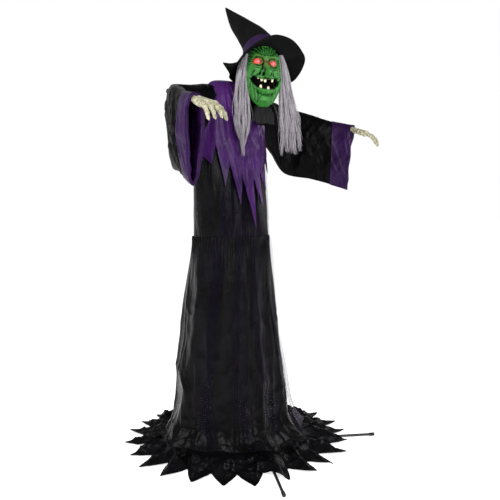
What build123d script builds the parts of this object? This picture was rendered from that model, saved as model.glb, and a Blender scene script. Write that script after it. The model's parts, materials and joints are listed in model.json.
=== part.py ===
from build123d import *
import math
import os

# Life-size animated witch figure on a four-legged tube stand.
# Millimetres. +Z up, origin on the floor under the stand's hub.
# The figure faces -Y and its own left hand is towards +X.

# ---- driving dimensions -------------------------------------------------
overall_height = 2130.0
cloth = 2.0                     # wall of every soft garment solid
moving_gap = 1.0                # clearance between soft parts of different bodies

leg_reach = 584.0               # hub axis to the outside of a foot cap
leg_diameter = 13.0
leg_wall = 1.2
leg_axis_z = 8.5
foot_cap_diameter = 17.0
foot_cap_length = 26.0

hub_radius = 31.0
hub_height = 78.0
hub_arm_length = 88.0
hub_arm_width = 25.0
hub_arm_height = 20.0

pole_diameter = 25.4
pole_wall = 1.4
pole_plug_length = 60.0
pole_top_y = 150.0              # how far the pole has leaned back at pole_top_z
pole_top_z = 1590.0
pole_section_length = 520.0
pole_foot = 16.0
snap_button_diameter = 6.4
snap_button_travel = 3.5

torso_axis_y = 178.0            # centre of the hanging robe, behind the pole foot
torso_half_width = 112.0
torso_front_y = 122.0
torso_rear_y = 220.0
torso_bottom_z = 1545.0
torso_top_z = 1706.0
torso_wall = 3.0

shoulder_y = 165.0
shoulder_z = 1700.0
elbow = (440.0, 171.0, 1654.0)
wrist = (628.0, -155.0, 1566.0)
arm_tube_diameter = 16.0
sleeve_start_x = 212.0

head_axis_y = -5.0
head_turn = -42.0               # the way the face looks in the stored pose
head_centre_z = 1762.0
head_half = (82.0, 96.0, 146.0)
mask_wall = 3.0
jaw_hinge = (-34.0, 1738.0)     # y and z in the head's own frame
jaw_travel = 8.0                # degrees from open to shut
neck_z = 1590.0

hem_centre = (-20.0, 128.0)
hem_inner_radius = 300.0
hem_notch_radius = 440.0
hem_tip_radius = 575.0
hem_points = 24
hem_thickness = 4.0

panel_sides = 12

# Sections of the robe: height, centre y, half width, half depth.
robe_sections = [
    (24.0, 150.0, 345.0, 335.0),
    (150.0, 190.0, 285.0, 275.0),
    (1010.0, 176.0, 212.0, 165.0),
    (1350.0, 180.0, 240.0, 122.0),
    (1500.0, 184.0, 205.0, 121.0),
    (1660.0, 184.0, 200.0, 112.0),
    (1734.0, 170.0, 150.0, 62.0),
]
waist_z = 1010.0


# ---- frames -------------------------------------------------------------
lean_angle = -math.degrees(math.atan2(pole_top_y, pole_top_z))


def on_pole(shape):
    """Tilt something built round the Z axis onto the leaning pole."""
    return shape.rotate(Axis.X, lean_angle)


def on_head(shape):
    """Turn something built facing -Y, round the Z axis, into the head's stored pose."""
    return Pos(0, head_axis_y, 0) * shape.rotate(Axis.Z, head_turn)


def mirrored(shape, side):
    """side is +1 for the figure's left, -1 for its right."""
    return shape if side > 0 else mirror(shape, about=Plane.YZ)


def save(name, shape):
    solids = list(shape) if isinstance(shape, (list, ShapeList)) else list(shape.solids())
    model = solids[0] if len(solids) == 1 else Compound(children=solids)
    model.label = name
    export_step(model, f"parts/{name}.step")


# ---- cloth panels -------------------------------------------------------
def flat_panel(first_ring, second_ring):
    """A closed solid ruled between two flat four-sided outlines."""
    wires = [Wire.make_polygon(first_ring, close=True), Wire.make_polygon(second_ring, close=True)]
    return Solid.make_loft(wires, ruled=True)


def tube_panels(sections, picks=None):
    """Flat panels round a tube. A section is (outer points, inner points)."""
    panels = []
    for (outer_a, inner_a), (outer_b, inner_b) in zip(sections[:-1], sections[1:]):
        count = len(outer_a)
        for i in range(count):
            j = (i + 1) % count
            if picks is None or i in picks:
                ring_a = [outer_a[i], outer_a[j], inner_a[j], inner_a[i]]
                ring_b = [outer_b[i], outer_b[j], inner_b[j], inner_b[i]]
                panels.append(flat_panel(ring_a, ring_b))
    return panels


def oval(centre, across, up, half_across, half_up, count, start=0.0):
    """Points of an oval in the plane of two unit directions."""
    points = []
    for i in range(count):
        angle = math.radians(start + 360.0 * i / count)
        points.append(centre + across * (half_across * math.cos(angle)) + up * (half_up * math.sin(angle)))
    return points


def wall_section(centre, across, up, half_across, half_up, count, wall=cloth, start=0.0):
    outer = oval(centre, across, up, half_across, half_up, count, start)
    inner = oval(centre, across, up, half_across - wall, half_up - wall, count, start)
    return outer, inner


def robe_shape(z):
    """Centre y and half sizes of the robe at a height, between the stated sections."""
    for low, high in zip(robe_sections[:-1], robe_sections[1:]):
        if low[0] <= z <= high[0]:
            t = (z - low[0]) / (high[0] - low[0])
            return [a + (b - a) * t for a, b in zip(low[1:], high[1:])]
    raise ValueError(z)


def robe_ring(z, outwards=0.0):
    centre_y, half_x, half_y = robe_shape(z)
    centre = Vector(0, centre_y, z)
    sizes = (half_x + outwards, half_y + outwards)
    return wall_section(centre, Vector(1, 0, 0), Vector(0, 1, 0), *sizes, panel_sides, start=15.0)


# ---- stand --------------------------------------------------------------
def leg_angle(side_x, side_y):
    return math.degrees(math.atan2(side_y, side_x))


def radial(shape, angle):
    """Turn something built along +X out along a leg."""
    return shape.rotate(Axis.Z, angle)


legs = {
    "front_left": leg_angle(1, -1),
    "front_right": leg_angle(-1, -1),
    "rear_left": leg_angle(1, 1),
    "rear_right": leg_angle(-1, 1),
}


def bar(length, radius, start):
    """A round bar along +X at the legs' height, from start outwards."""
    return Pos(start + length / 2, 0, leg_axis_z) * Rot(0, 90, 0) * Cylinder(radius, length)


def make_leg(angle):
    start = 27.0
    length = leg_reach - 4.0 - start
    tube = bar(length, leg_diameter / 2, start) - bar(length, leg_diameter / 2 - leg_wall, start)
    return radial(tube, angle)


def make_foot_cap(angle):
    start = leg_reach - foot_cap_length
    cap = bar(foot_cap_length, foot_cap_diameter / 2, start)
    cap = fillet(cap.edges().sort_by(Axis.X)[-1], 3.0)
    cap -= bar(foot_cap_length - 4.0, leg_diameter / 2 + 0.05, start)
    return radial(cap, angle)


def make_base_hub():
    hub = Pos(0, 0, hub_height / 2) * Cylinder(hub_radius, hub_height)
    for angle in legs.values():
        arm = Pos(hub_arm_length / 2, 0, hub_arm_height / 2) * Box(hub_arm_length, hub_arm_width, hub_arm_height)
        hub += radial(arm, angle)
    hub = hub.solids()[0]
    for angle in legs.values():
        hub -= radial(bar(hub_arm_length, leg_diameter / 2 + 0.05, 27.0), angle)
    pole_hole = Pos(0, 0, pole_foot + hub_height / 2) * Cylinder(pole_diameter / 2 + 0.05, hub_height)
    return hub - on_pole(pole_hole)


def pole_section(index):
    """One tube of the pole, with a reduced plug at its lower end above the first."""
    start = pole_foot + index * pole_section_length
    outer = pole_diameter / 2
    bore = outer - pole_wall
    collar = 8.0 if index > 0 else 0.0
    tube = Pos(0, 0, start + pole_section_length / 2) * Cylinder(outer, pole_section_length)
    tube -= Pos(0, 0, start + collar + pole_section_length / 2) * Cylinder(bore, pole_section_length)
    if index > 0:
        plug_radius = bore - 0.1
        middle = start + (collar - pole_plug_length) / 2
        tube += Pos(0, 0, middle) * Cylinder(plug_radius, pole_plug_length + collar)
        tube -= Pos(0, 0, middle) * Cylinder(plug_radius - pole_wall, pole_plug_length + collar + 2)
        tube -= button_hole(start)
    if index < 2:
        tube -= button_hole(start + pole_section_length)
    return on_pole(tube)


def button_hole(joint_z):
    z = joint_z - pole_plug_length / 2
    return Pos(pole_diameter / 2, 0, z) * Rot(0, 90, 0) * Cylinder(snap_button_diameter / 2 + 0.3, 14)


def make_snap_button(index):
    """A domed button on a leaf that springs out through both tube walls."""
    z = pole_foot + index * pole_section_length - pole_plug_length / 2
    tip_x = pole_diameter / 2 + 3.0
    length = tip_x - 2.0
    button = Pos(tip_x - length / 2, 0, z) * Rot(0, 90, 0) * Cylinder(snap_button_diameter / 2, length)
    button = fillet(button.edges().sort_by(Axis.X)[-1], 1.4)
    leaf = Pos(1.5, 0, z) * Box(1.0, 7.0, 26.0)
    return on_pole(button + leaf)


# ---- torso housing ------------------------------------------------------
def torso_block(inset=0.0):
    size_y = torso_rear_y - torso_front_y - 2 * inset
    size_z = torso_top_z - torso_bottom_z - 2 * inset
    centre = Pos(0, (torso_rear_y + torso_front_y) / 2, (torso_top_z + torso_bottom_z) / 2)
    block = Box(2 * (torso_half_width - inset), size_y, size_z)
    return centre * fillet(block.edges().filter_by(Axis.X), 18.0 - inset)


def torso_openings():
    """Bores for the arm shafts, the pole and the neck tube."""
    arms = Pos(0, shoulder_y, shoulder_z - 8) * Rot(0, 90, 0) * Cylinder(14.0, 3 * torso_half_width)
    pole = on_pole(Pos(0, 0, torso_bottom_z) * Cylinder(pole_diameter / 2 + 0.5, 40))
    neck = Pos(0, torso_front_y, neck_z) * Rot(90, 0, 0) * Cylinder(10.2, 30)
    return arms + pole + neck


def make_torso_shell(front):
    shell = torso_block() - torso_block(torso_wall) - torso_openings()
    middle = (torso_front_y + torso_rear_y) / 2
    half_depth = torso_rear_y - torso_front_y
    centre_y = middle - half_depth / 2 if front else middle + half_depth / 2
    keep = Pos(0, centre_y, (torso_top_z + torso_bottom_z) / 2) * Box(300, half_depth, 300)
    shell = shell & keep
    post_length = half_depth / 2 - torso_wall + 1.0
    for x, z in torso_screw_places():
        post_y = middle - post_length / 2 if front else middle + post_length / 2
        shell += Pos(x, post_y, z) * Rot(90, 0, 0) * Cylinder(5.0, post_length)
        shell -= Pos(x, post_y, z) * Rot(90, 0, 0) * Cylinder(2.05, 2.4 * post_length)
    return max(shell.solids(), key=lambda solid: solid.volume)


def torso_screw_places():
    return [(x, z) for x in (-98.0, 98.0) for z in (torso_bottom_z + 22.0, torso_top_z - 42.0)] + [
        (x, torso_bottom_z + 22.0) for x in (-40.0, 40.0)]


def make_torso_screws():
    screws = []
    shank_length = 80.0
    head_height = 2.4
    for x, z in torso_screw_places():
        shank = Pos(x, torso_rear_y + 0.1 - shank_length / 2, z) * Rot(90, 0, 0) * Cylinder(2.0, shank_length)
        head = Pos(x, torso_rear_y + 0.1 + head_height / 2, z) * Rot(90, 0, 0) * Cylinder(4.2, head_height)
        screws.append(shank + head)
    return [solid for screw in screws for solid in screw.solids()]


def make_arm_gearmotor(side):
    """Geared motor whose bored output boss carries the arm tube."""
    body = Pos(62, shoulder_y, shoulder_z - 34) * Box(52, 44, 70)
    body = fillet(body.edges().filter_by(Axis.X), 4.0)
    can = Pos(62, shoulder_y, shoulder_z - 96) * Cylinder(14.0, 54)
    shaft = Pos(99, shoulder_y, shoulder_z - 8) * Rot(0, 90, 0) * Cylinder(4.0, 24.0)
    return mirrored(body + can + shaft, side)


def make_control_board():
    return Pos(0, torso_rear_y - 9, torso_bottom_z + 70) * Box(60, 1.6, 76)


def make_speaker():
    z = torso_bottom_z + 72
    cone = Pos(0, torso_rear_y - 24, z) * Rot(90, 0, 0) * Cone(12, 27, 12)
    magnet = Pos(0, torso_rear_y - 34, z) * Rot(90, 0, 0) * Cylinder(13, 8)
    return cone + magnet


def make_neck_tube():
    path = FilletPolyline((0, torso_front_y + 40, neck_z), (0, head_axis_y, neck_z),
                          (0, head_axis_y, neck_z + 52), radius=26)
    start = Plane(origin=(0, torso_front_y + 40, neck_z), z_dir=(0, -1, 0))
    ring = start * (Circle(9.5) - Circle(7.7))
    return sweep(ring, path=path)


def make_head_gearmotor():
    base_z = neck_z + 52.0
    flange = Pos(0, head_axis_y, base_z + 2) * Box(44, 34, 4)
    body = Pos(0, head_axis_y, base_z + 21) * Box(40, 30, 34)
    shaft = Pos(0, head_axis_y, base_z + 44) * Cylinder(4.0, 12)
    return flange + body + shaft


# ---- control box on the pole -------------------------------------------
box_z = 1290.0                  # along the pole
box_size = (92.0, 44.0, 150.0)
box_gap = 0.4


def control_box_centre_y():
    return pole_diameter / 2 + 4.0 + box_size[1] / 2


def make_control_box():
    centre = Pos(0, control_box_centre_y(), box_z)
    box = fillet(Box(*box_size).edges().filter_by(Axis.Z), 5.0)
    rear = box_size[1] / 2
    box -= Pos(0, 1.8, 0) * Box(box_size[0] - 5, 28.4, box_size[2] - 30)
    box -= Pos(0, rear - 4, 0) * Box(62, 8, 100)
    # The door's groove runs out of the lower end, so that the door can slide off downwards.
    box -= Pos(0, rear - 2.3, -10) * Box(70, 2.8, 132)
    box -= Pos(0, rear, -10) * Box(63, 4, 132)
    box -= Pos(box_size[0] / 2, -8, 40) * Box(8, 8.6, 18.6)
    clip = Pos(0, -box_size[1] / 2 - 2.5, 0) * Box(34, 7, 40)
    bore = Pos(0, -control_box_centre_y(), 0) * Cylinder(pole_diameter / 2 + 0.05, 60)
    saddle = Pos(0, -control_box_centre_y() + 2, 0) * Cylinder(17.0, 40) - bore
    return on_pole(centre * (box + (clip - bore) + saddle))


def make_battery_door():
    y = control_box_centre_y() + box_size[1] / 2 - 2.3
    door = Pos(0, y, box_z) * Box(69.2, 2.4, 111.2)
    panel = Pos(0, y + 1.7, box_z) * Box(62.2, 1.2, 111.2)
    grip = Pos(0, y + 3.0, box_z + 42) * Box(26, 1.6, 8)
    return on_pole(door + panel + grip)


def make_battery_cells():
    cells = []
    for x in (-24.0, -8.0, 8.0, 24.0):
        cell = Pos(x, control_box_centre_y() + 4, box_z - 12) * Cylinder(7.2, 50)
        cell += Pos(x, control_box_centre_y() + 4, box_z + 14) * Cylinder(2.6, 2)
        cells.append(on_pole(cell).solids()[0])
    return cells


def make_power_switch():
    x = box_size[0] / 2
    slider = Pos(x - 0.5, control_box_centre_y() - 8, box_z + 40) * Box(7, 8, 11)
    nub = Pos(x + 4, control_box_centre_y() - 8, box_z + 40) * Box(3, 5, 4)
    return on_pole(slider + nub)


# ---- arms ---------------------------------------------------------------
def arm_path(points, radius):
    return FilletPolyline(*points, radius=radius)


def make_upper_arm_tube(side):
    """Hub on the gearmotor's shaft, then the tube out to the elbow."""
    start = Vector(100.0, shoulder_y, shoulder_z - 8)
    end = Vector(*elbow)
    direction = (end - start).normalized()
    length = (end - start).length
    plane = Plane(origin=start, z_dir=direction)
    tube = plane * Pos(0, 0, 20 + (length - 20) / 2) * Cylinder(arm_tube_diameter / 2, length - 20)
    hub = Pos(start.X + 14, shoulder_y, start.Z) * Rot(0, 90, 0) * Cylinder(12.5, 27)
    knuckle = Pos(*elbow) * Sphere(13.0)
    bore = Pos(start.X + 5, shoulder_y, start.Z) * Rot(0, 90, 0) * Cylinder(4.05, 14)
    return mirrored((tube + hub + knuckle) - bore, side)


def make_forearm_tube(side):
    start = Vector(*elbow)
    end = Vector(*wrist)
    direction = (end - start).normalized()
    length = (end - start).length
    plane = Plane(origin=start, z_dir=direction)
    tube = plane * Pos(0, 0, 13.4 + (length - 13.4) / 2) * Cylinder(arm_tube_diameter / 2, length - 13.4)
    return mirrored(tube, side)


forearm_flat = Vector(wrist[0] - elbow[0], wrist[1] - elbow[1], 0).normalized()
forearm_across = Vector(-forearm_flat.Y, forearm_flat.X, 0)
sleeve_sides = 8
cuff_length = 92.0


def sleeve_sections():
    """Sleeve rings from the armhole to the mouth: each hangs from the arm's line."""
    up = Vector(0, 0, 1)
    mouth = Vector(625, -128, 0)
    specs = [
        (Vector(sleeve_start_x, 166, 0), Vector(0, 1, 0), 52.0, 1722.0, 1512.0),
        (Vector(330, 170, 0), Vector(0, 1, 0), 58.0, 1702.0, 1428.0),
        (Vector(448, 150, 0), Vector(0.5, 0.866, 0), 64.0, 1680.0, 1330.0),
        (mouth - forearm_flat * cuff_length, forearm_across, 65.0, 1610.0, 1276.0),
        (mouth, forearm_across, 68.0, 1588.0, 1244.0),
    ]
    sections = []
    for place, across, half_across, top, bottom in specs:
        centre = place + up * ((top + bottom) / 2)
        flat = math.cos(math.radians(180.0 / sleeve_sides))
        sections.append(wall_section(centre, across, up, half_across / flat, (top - bottom) / 2 / flat,
                                     sleeve_sides, start=180.0 / sleeve_sides))
    return sections


def make_sleeve(side):
    return [mirrored(panel, side) for panel in tube_panels(sleeve_sections()[:-1])]


def make_cuff(side):
    return [mirrored(panel, side) for panel in tube_panels(sleeve_sections()[-2:])]


def finger(start, headings, lengths, radius):
    """Bones of one finger: rods with knuckles, each with its own heading."""
    knuckle = 0.8
    shape = Sphere(radius + knuckle).moved(Location(start))
    place = start
    for heading, length in zip(headings, lengths):
        direction = heading.normalized()
        rod = Plane(origin=place, z_dir=direction) * Pos(0, 0, length / 2) * Cylinder(radius, length)
        place = place + direction * length
        shape = shape + rod + Sphere(radius + knuckle).moved(Location(place))
        radius -= 0.8
    return shape


def make_hand(side):
    """A bony hand, palm down, reaching on along the forearm."""
    end = Vector(*wrist)
    along = Vector(forearm_flat.X * 0.5, forearm_flat.Y, -0.30).normalized()
    across = Vector(-along.Y, along.X, 0).normalized()
    normal = along.cross(across).normalized()
    plane = Plane(origin=end + along * 44, x_dir=across, z_dir=normal)
    palm = plane * fillet(Box(70, 78, 24).edges().filter_by(Axis.Z), 16.0)
    socket = Plane(origin=end - along * 14, z_dir=along) * Pos(0, 0, 14) * Cylinder(17.0, 36)
    hand = palm + socket
    for k in range(4):
        offset = 19.6 * (k - 1.5)
        spread = across * (0.10 * (k - 1.5))
        start = end + along * 76 + across * offset
        headings = [along + spread, along + spread - Vector(0, 0, 0.35), along + spread - Vector(0, 0, 0.9)]
        hand = hand + finger(start, headings, (40.0, 27.0, 22.0), 7.2)
    thumb_start = end + along * 24 - across * 31
    headings = [along - across * 0.9, along - across * 0.35, along * 1.0 - across * 0.1]
    hand = hand + finger(thumb_start, headings, (30.0, 26.0, 20.0), 7.8)
    tube = Plane(origin=Vector(*elbow), z_dir=(Vector(*wrist) - Vector(*elbow)).normalized())
    length = (Vector(*wrist) - Vector(*elbow)).length
    hand -= tube * Pos(0, 0, length / 2) * Cylinder(arm_tube_diameter / 2 + 0.05, length + 0.1)
    hand = max(hand.solids(), key=lambda solid: solid.volume)
    return mirrored(hand, side)


# ---- robe ---------------------------------------------------------------
def make_lower_robe():
    return tube_panels([robe_ring(z) for z in (24.0, 150.0, waist_z - 1.0)])


def make_upper_robe():
    levels = (waist_z + 1.0, 1350.0, 1500.0, 1660.0, 1734.0)
    panels = tube_panels([robe_ring(z) for z in levels])
    armhole = Pos(0, shoulder_y, shoulder_z - 14) * Rot(0, 90, 0) * Cylinder(30.0, 560)
    neck_hole = Pos(0, 60, neck_z) * Rot(90, 0, 0) * Cylinder(24.0, 60)
    cut = [panel - armhole - neck_hole for panel in panels]
    solids = [solid for panel in cut for solid in panel.solids()]
    top = Wire.make_polygon(robe_ring(1734.0)[0], close=True)
    solids.append(extrude(Face(top), cloth, dir=(0, 0, 1)).solids()[0])
    return solids


def make_tunic():
    """Front overlay with a pointed hem, longest at the middle."""
    hem_point_drop = 62.0
    hems = {6: 1345.0, 7: 1262.0, 8: 1160.0, 9: 1160.0, 10: 1262.0, 11: 1345.0}
    neck_hole = Pos(0, 60, neck_z) * Rot(90, 0, 0) * Cylinder(24.0, 80)
    solids = []
    for side, hem in hems.items():
        levels = [hem] + [z for z in (1350.0, 1500.0) if z > hem + 1] + [1655.0]
        rings = [robe_ring(z, outwards=cloth + 0.6) for z in levels]
        for panel in tube_panels(rings, picks=(side,)):
            solids.extend((panel - neck_hole).solids())
        outer, inner = robe_ring(hem, outwards=cloth + 0.6)
        low_outer, low_inner = robe_ring(hem - hem_point_drop, outwards=cloth + 0.6)
        a, b = side, (side + 1) % panel_sides
        tip_outer = (low_outer[a] + low_outer[b]) * 0.5
        tip_inner = (low_inner[a] + low_inner[b]) * 0.5
        point_outer = Wire.make_polygon([outer[a], outer[b], tip_outer], close=True)
        point_inner = Wire.make_polygon([inner[a], inner[b], tip_inner], close=True)
        solids.append(Solid.make_loft([point_outer, point_inner], ruled=True))
    return solids


def make_neck_cowl():
    east, north = Vector(1, 0, 0), Vector(0, 1, 0)
    top = wall_section(Vector(0, head_axis_y, 1604), east, north, 56, 56, 8, start=22.5)
    bottom = wall_section(Vector(0, 8, 1490), east, north, 46, 42, 8, start=22.5)
    bore = Pos(0, 60, neck_z) * Rot(90, 0, 0) * Cylinder(12.0, 100)
    panels = [panel - bore for panel in tube_panels([bottom, top])]
    return [solid for panel in panels for solid in panel.solids()]


def make_hem_train():
    """Pointed cloth petals flat on the floor, raised into a tunnel over each leg."""
    cx, cy = hem_centre
    step = 360.0 / hem_points

    def at(radius, turn):
        angle = math.radians(turn)
        return (cx + radius * math.cos(angle), cy + radius * math.sin(angle))

    tunnel_half = 10.5
    tunnel_top = leg_axis_z + leg_diameter / 2 + 2.5
    petals = []
    for i in range(hem_points):
        a, b = i * step, (i + 1) * step
        outline = [at(hem_inner_radius, a), at(hem_notch_radius, a), at(hem_tip_radius, (a + b) / 2),
                   at(hem_notch_radius, b), at(hem_inner_radius, b)]
        petals.append(extrude(Face(Wire.make_polygon([(x, y, 0) for x, y in outline], close=True)),
                              hem_thickness, dir=(0, 0, 1)))
    solids = []
    for petal in petals:
        for angle in legs.values():
            slot = Pos(450, 0, 10) * Box(900, 2 * tunnel_half, 40)
            petal = petal - radial(slot, angle)
        solids.extend(petal.solids())
    for angle in legs.values():
        inner, outer = (206.0, 340.0) if angle < 0 else (364.0, 520.0)
        length = outer - inner
        centre = Pos((inner + outer) / 2, 0, tunnel_top / 2 + 1)
        arch = centre * Box(length, 2 * tunnel_half, tunnel_top + 2)
        arch -= Pos((inner + outer) / 2, 0, tunnel_top / 2 - 1) * Box(length + 2, 2 * tunnel_half - 4, tunnel_top + 2)
        solids.extend(radial(arch, angle).solids())
    return solids


# ---- head ---------------------------------------------------------------
def head_egg(inset=0.0):
    size = [half - inset for half in head_half]
    egg = scale(Sphere(1.0), by=tuple(size))
    return Pos(0, -6, head_centre_z) * egg


def face_side():
    return Pos(0, -150, head_centre_z) * Box(300, 300, 400)


def jaw_zone(grow=0.0):
    """The wedge of the head shell that belongs to the jaw."""
    top = 1706.0 + grow
    return Pos(0, -150 - 32 + grow, top - 100) * Box(300, 300, 200)


def jaw_closed(shape):
    """The shape where the jaw's hinge takes it when the mouth shuts, with a degree to spare."""
    y, z = jaw_hinge
    return Pos(0, y, z) * Rot(-(jaw_travel + 1.0), 0, 0) * Pos(0, -y, -z) * shape


def mouth_gap():
    return Pos(0, -110, 1718) * Box(96, 90, 26)


def make_mask_face():
    shell = (head_egg() - head_egg(mask_wall)) & face_side()
    shell -= jaw_zone(2.0)
    shell -= jaw_closed(jaw_zone(2.0))
    shell -= mouth_gap()
    for x in (-31.0, 31.0):
        shell -= Pos(x, -90, 1812) * Rot(90, 0, 0) * Cylinder(14.5, 60)
    shell -= Pos(0, 0, 1600) * Box(300, 300, 60)
    bridge = Pos(0, -96, 1790) * Rot(-14, 0, 0) * Cone(17, 9, 74)
    hook = Pos(0, -118, 1760) * Sphere(16)
    nose = (bridge + hook) - head_egg(mask_wall - 0.5)
    shell = shell + nose
    return on_head(max(shell.solids(), key=lambda solid: solid.volume))


def make_skull_shell():
    rear = Pos(0, 150 + 0.2, head_centre_z) * Box(300, 300, 400)
    shell = (head_egg() - head_egg(mask_wall)) & rear
    shell -= Pos(0, 0, 1610) * Box(300, 300, 90)
    return on_head(max(shell.solids(), key=lambda solid: solid.volume))


def make_jaw():
    shell = (head_egg() - head_egg(mask_wall)) & jaw_zone()
    chin = Pos(0, -84, 1634) * Sphere(19)
    shell = shell + (chin - head_egg(mask_wall - 0.5))
    return on_head(max(shell.solids(), key=lambda solid: solid.volume))


def make_jaw_bracket():
    """Strap inside the jaw with two ears that turn on the hinge pins."""
    y, z = jaw_hinge
    strap_y, strap_z, ear_x = -62.0, 1694.0, 46.0
    ear_plane_x = (1, 0, 0)
    bracket = Pos(0, strap_y, strap_z) * Box(2 * ear_x + 4, 8, 10)
    for x in (-ear_x, ear_x):
        plane = Plane(origin=(x, strap_y, strap_z), x_dir=ear_plane_x, z_dir=(0, y - strap_y, z - strap_z))
        bracket += plane * Pos(0, 0, 25) * Box(4, 12, 52)
        bracket += Pos(x, y, z) * Rot(0, 90, 0) * Cylinder(8, 4)
        bracket -= Pos(x, y, z) * Rot(0, 90, 0) * Cylinder(3.05, 12)
    bracket = bracket & head_egg(mask_wall + 0.4)
    return on_head(max(bracket.solids(), key=lambda solid: solid.volume))


def make_jaw_pins():
    y, z = jaw_hinge
    pins = []
    for x in (-57.0, 57.0):
        pin = Pos(x, y, z) * Rot(0, 90, 0) * Cylinder(3.0, 28)
        pins.append(on_head(pin).solids()[0])
    return pins


def tooth_row(places, z, height, y, width=9.0):
    """Pegs on a gum strip that follows the mouth."""
    row = []
    for x in places:
        depth = y + 0.0045 * x * x
        row.append(Pos(x, depth, z) * Box(width, 7, height))
    return row


def make_teeth(upper):
    if upper:
        row = tooth_row((-24.0, -9.0, 3.0, 26.0), 1729.0, 16.0, -88.0)
        strip = Pos(0, -83, 1736) * Box(58, 5, 5)
    else:
        row = tooth_row((-14.0, 18.0), 1704.0, 14.0, -79.0)
        strip = Pos(0, -75, 1701) * Box(44, 5, 6)
    teeth = strip
    for tooth in row:
        teeth = teeth + tooth
    return on_head(max(teeth.solids(), key=lambda solid: solid.volume))


def make_eye(side):
    """A domed lens with the lamp behind it."""
    x = 31.0 * side
    dome = Pos(x, -64.5, 1812) * Sphere(16.5)
    return on_head(dome & (Pos(x, -78, 1812) * Box(40, 30, 40)))


def make_eye_lamp_board():
    board = Pos(0, -59, 1812) * Box(86, 1.6, 18)
    for x in (-31.0, 31.0):
        board += Pos(x, -61.3, 1812) * Rot(90, 0, 0) * Cylinder(2.5, 3)
    return on_head(board)


def make_jaw_motor():
    return on_head(Pos(0, -22, 1778) * fillet(Box(40, 30, 26).edges().filter_by(Axis.Z), 4.0))


def make_head_plate():
    """Disc that carries the skull on the neck motor's shaft."""
    base_z = neck_z + 52 + 40
    plate = Pos(0, -4, base_z + 10) * Box(118, 100, 4)
    boss = Pos(0, 0, base_z + 4) * Cylinder(10, 12)
    post = Pos(0, -4, base_z + 47) * Box(30, 14, 71)
    bore = Pos(0, 0, base_z + 4) * Cylinder(4.05, 13)
    plate = (plate + boss + post) - bore
    plate = plate & head_egg(mask_wall + 0.4)
    return on_head(max(plate.solids(), key=lambda solid: solid.volume))


def make_hair(side):
    """One hanging bunch beside the face, tapering to its ends."""
    rings = []
    stations = [(1812.0, 95, -10, 6, 22), (1740.0, 98, -11, 9, 23), (1560.0, 105, -24, 9, 20),
                (1388.0, 124 if side > 0 else 98, -30, 7, 12)]
    for z, x, y, thick, wide in stations:
        rings.append(wall_section(Vector(x * side, y, z), Vector(1, 0, 0), Vector(0, 1, 0), thick, wide, 6)[0])
    pieces = [Solid.make_loft([Wire.make_polygon(a, close=True), Wire.make_polygon(b, close=True)], ruled=True)
              for a, b in zip(rings[:-1], rings[1:])]
    return [on_head(piece) for piece in pieces]


def make_hood():
    """Black cloth over the rear of the skull, up to the hat."""
    rear = Pos(0, 150 + 0.2, head_centre_z - 5) * Box(300, 300, 210)
    place, across, rearward, up = hat_axes()
    under_hat = Plane(origin=place - up * 9, x_dir=across, z_dir=up) * Pos(0, 0, -200) * Box(700, 700, 400)
    shell = (head_egg(-5.5) - head_egg(-3.0)) & rear & under_hat
    return on_head(max(shell.solids(), key=lambda solid: solid.volume))


# The hat sits tipped back: its own frame is at the middle of the brim plane.
hat_tip_back = 36.0
hat_place = (0.0, -2.0, 1838.0)
hat_sides = 12
hat_band_height = 84.0
brim_radius = 203.0
brim_lowest_z = 1745.0          # the rear of the brim rides clear of the shoulders
# Rings of the crown: height above the brim plane, sideways and rearward shift, half width, half length.
crown_rings = [
    (hat_band_height + 1.0, -2.0, 18.0, 88.0, 96.5),
    (150.0, -30.0, 16.0, 76.0, 81.0),
    (255.0, -90.0, 7.0, 44.5, 46.5),
    (351.7, -135.0, -8.0, 5.0, 5.0),
]


def hat_axes():
    angle = math.radians(hat_tip_back)
    across = Vector(1, 0, 0)
    rearward = Vector(0, math.cos(angle), -math.sin(angle))
    return Vector(*hat_place), across, rearward, across.cross(rearward)


def hat_section(height, shift_x, shift_y, half_x, half_y):
    place, across, rearward, up = hat_axes()
    centre = place + across * shift_x + rearward * shift_y + up * height
    return wall_section(centre, across, rearward, half_x, half_y, hat_sides, start=15.0)


def make_hat_band():
    rings = [hat_section(0.0, 0.0, 20.0, 92.0, 104.0), hat_section(hat_band_height, -2.0, 18.0, 88.0, 96.5)]
    return [on_head(panel) for panel in tube_panels(rings)]


def make_hat_crown():
    rings = [hat_section(*ring) for ring in crown_rings]
    return [on_head(panel) for panel in tube_panels(rings)]


def make_hat_brim():
    """Wide floppy brim, tipped back so that it frames the face and rides clear of the shoulders."""
    place, across, rearward, up = hat_axes()
    thick = up * 3.0
    sink = up * -3.4
    inner = oval(place + rearward * 20 + sink, across, rearward, 92.0, 104.0, hat_sides, 15.0)
    outer = oval(place + rearward * 12 + sink, across, rearward, brim_radius, brim_radius, hat_sides, 15.0)
    outer = [Vector(point.X, point.Y, max(point.Z, brim_lowest_z)) for point in outer]
    panels = []
    for i in range(hat_sides):
        j = (i + 1) % hat_sides
        a, b, c, d = inner[i], inner[j], outer[i], outer[j]
        panels.append(flat_panel([a, a + thick, c + thick, c], [b, b + thick, d + thick, d]))
    return [on_head(panel) for panel in panels]


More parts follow.
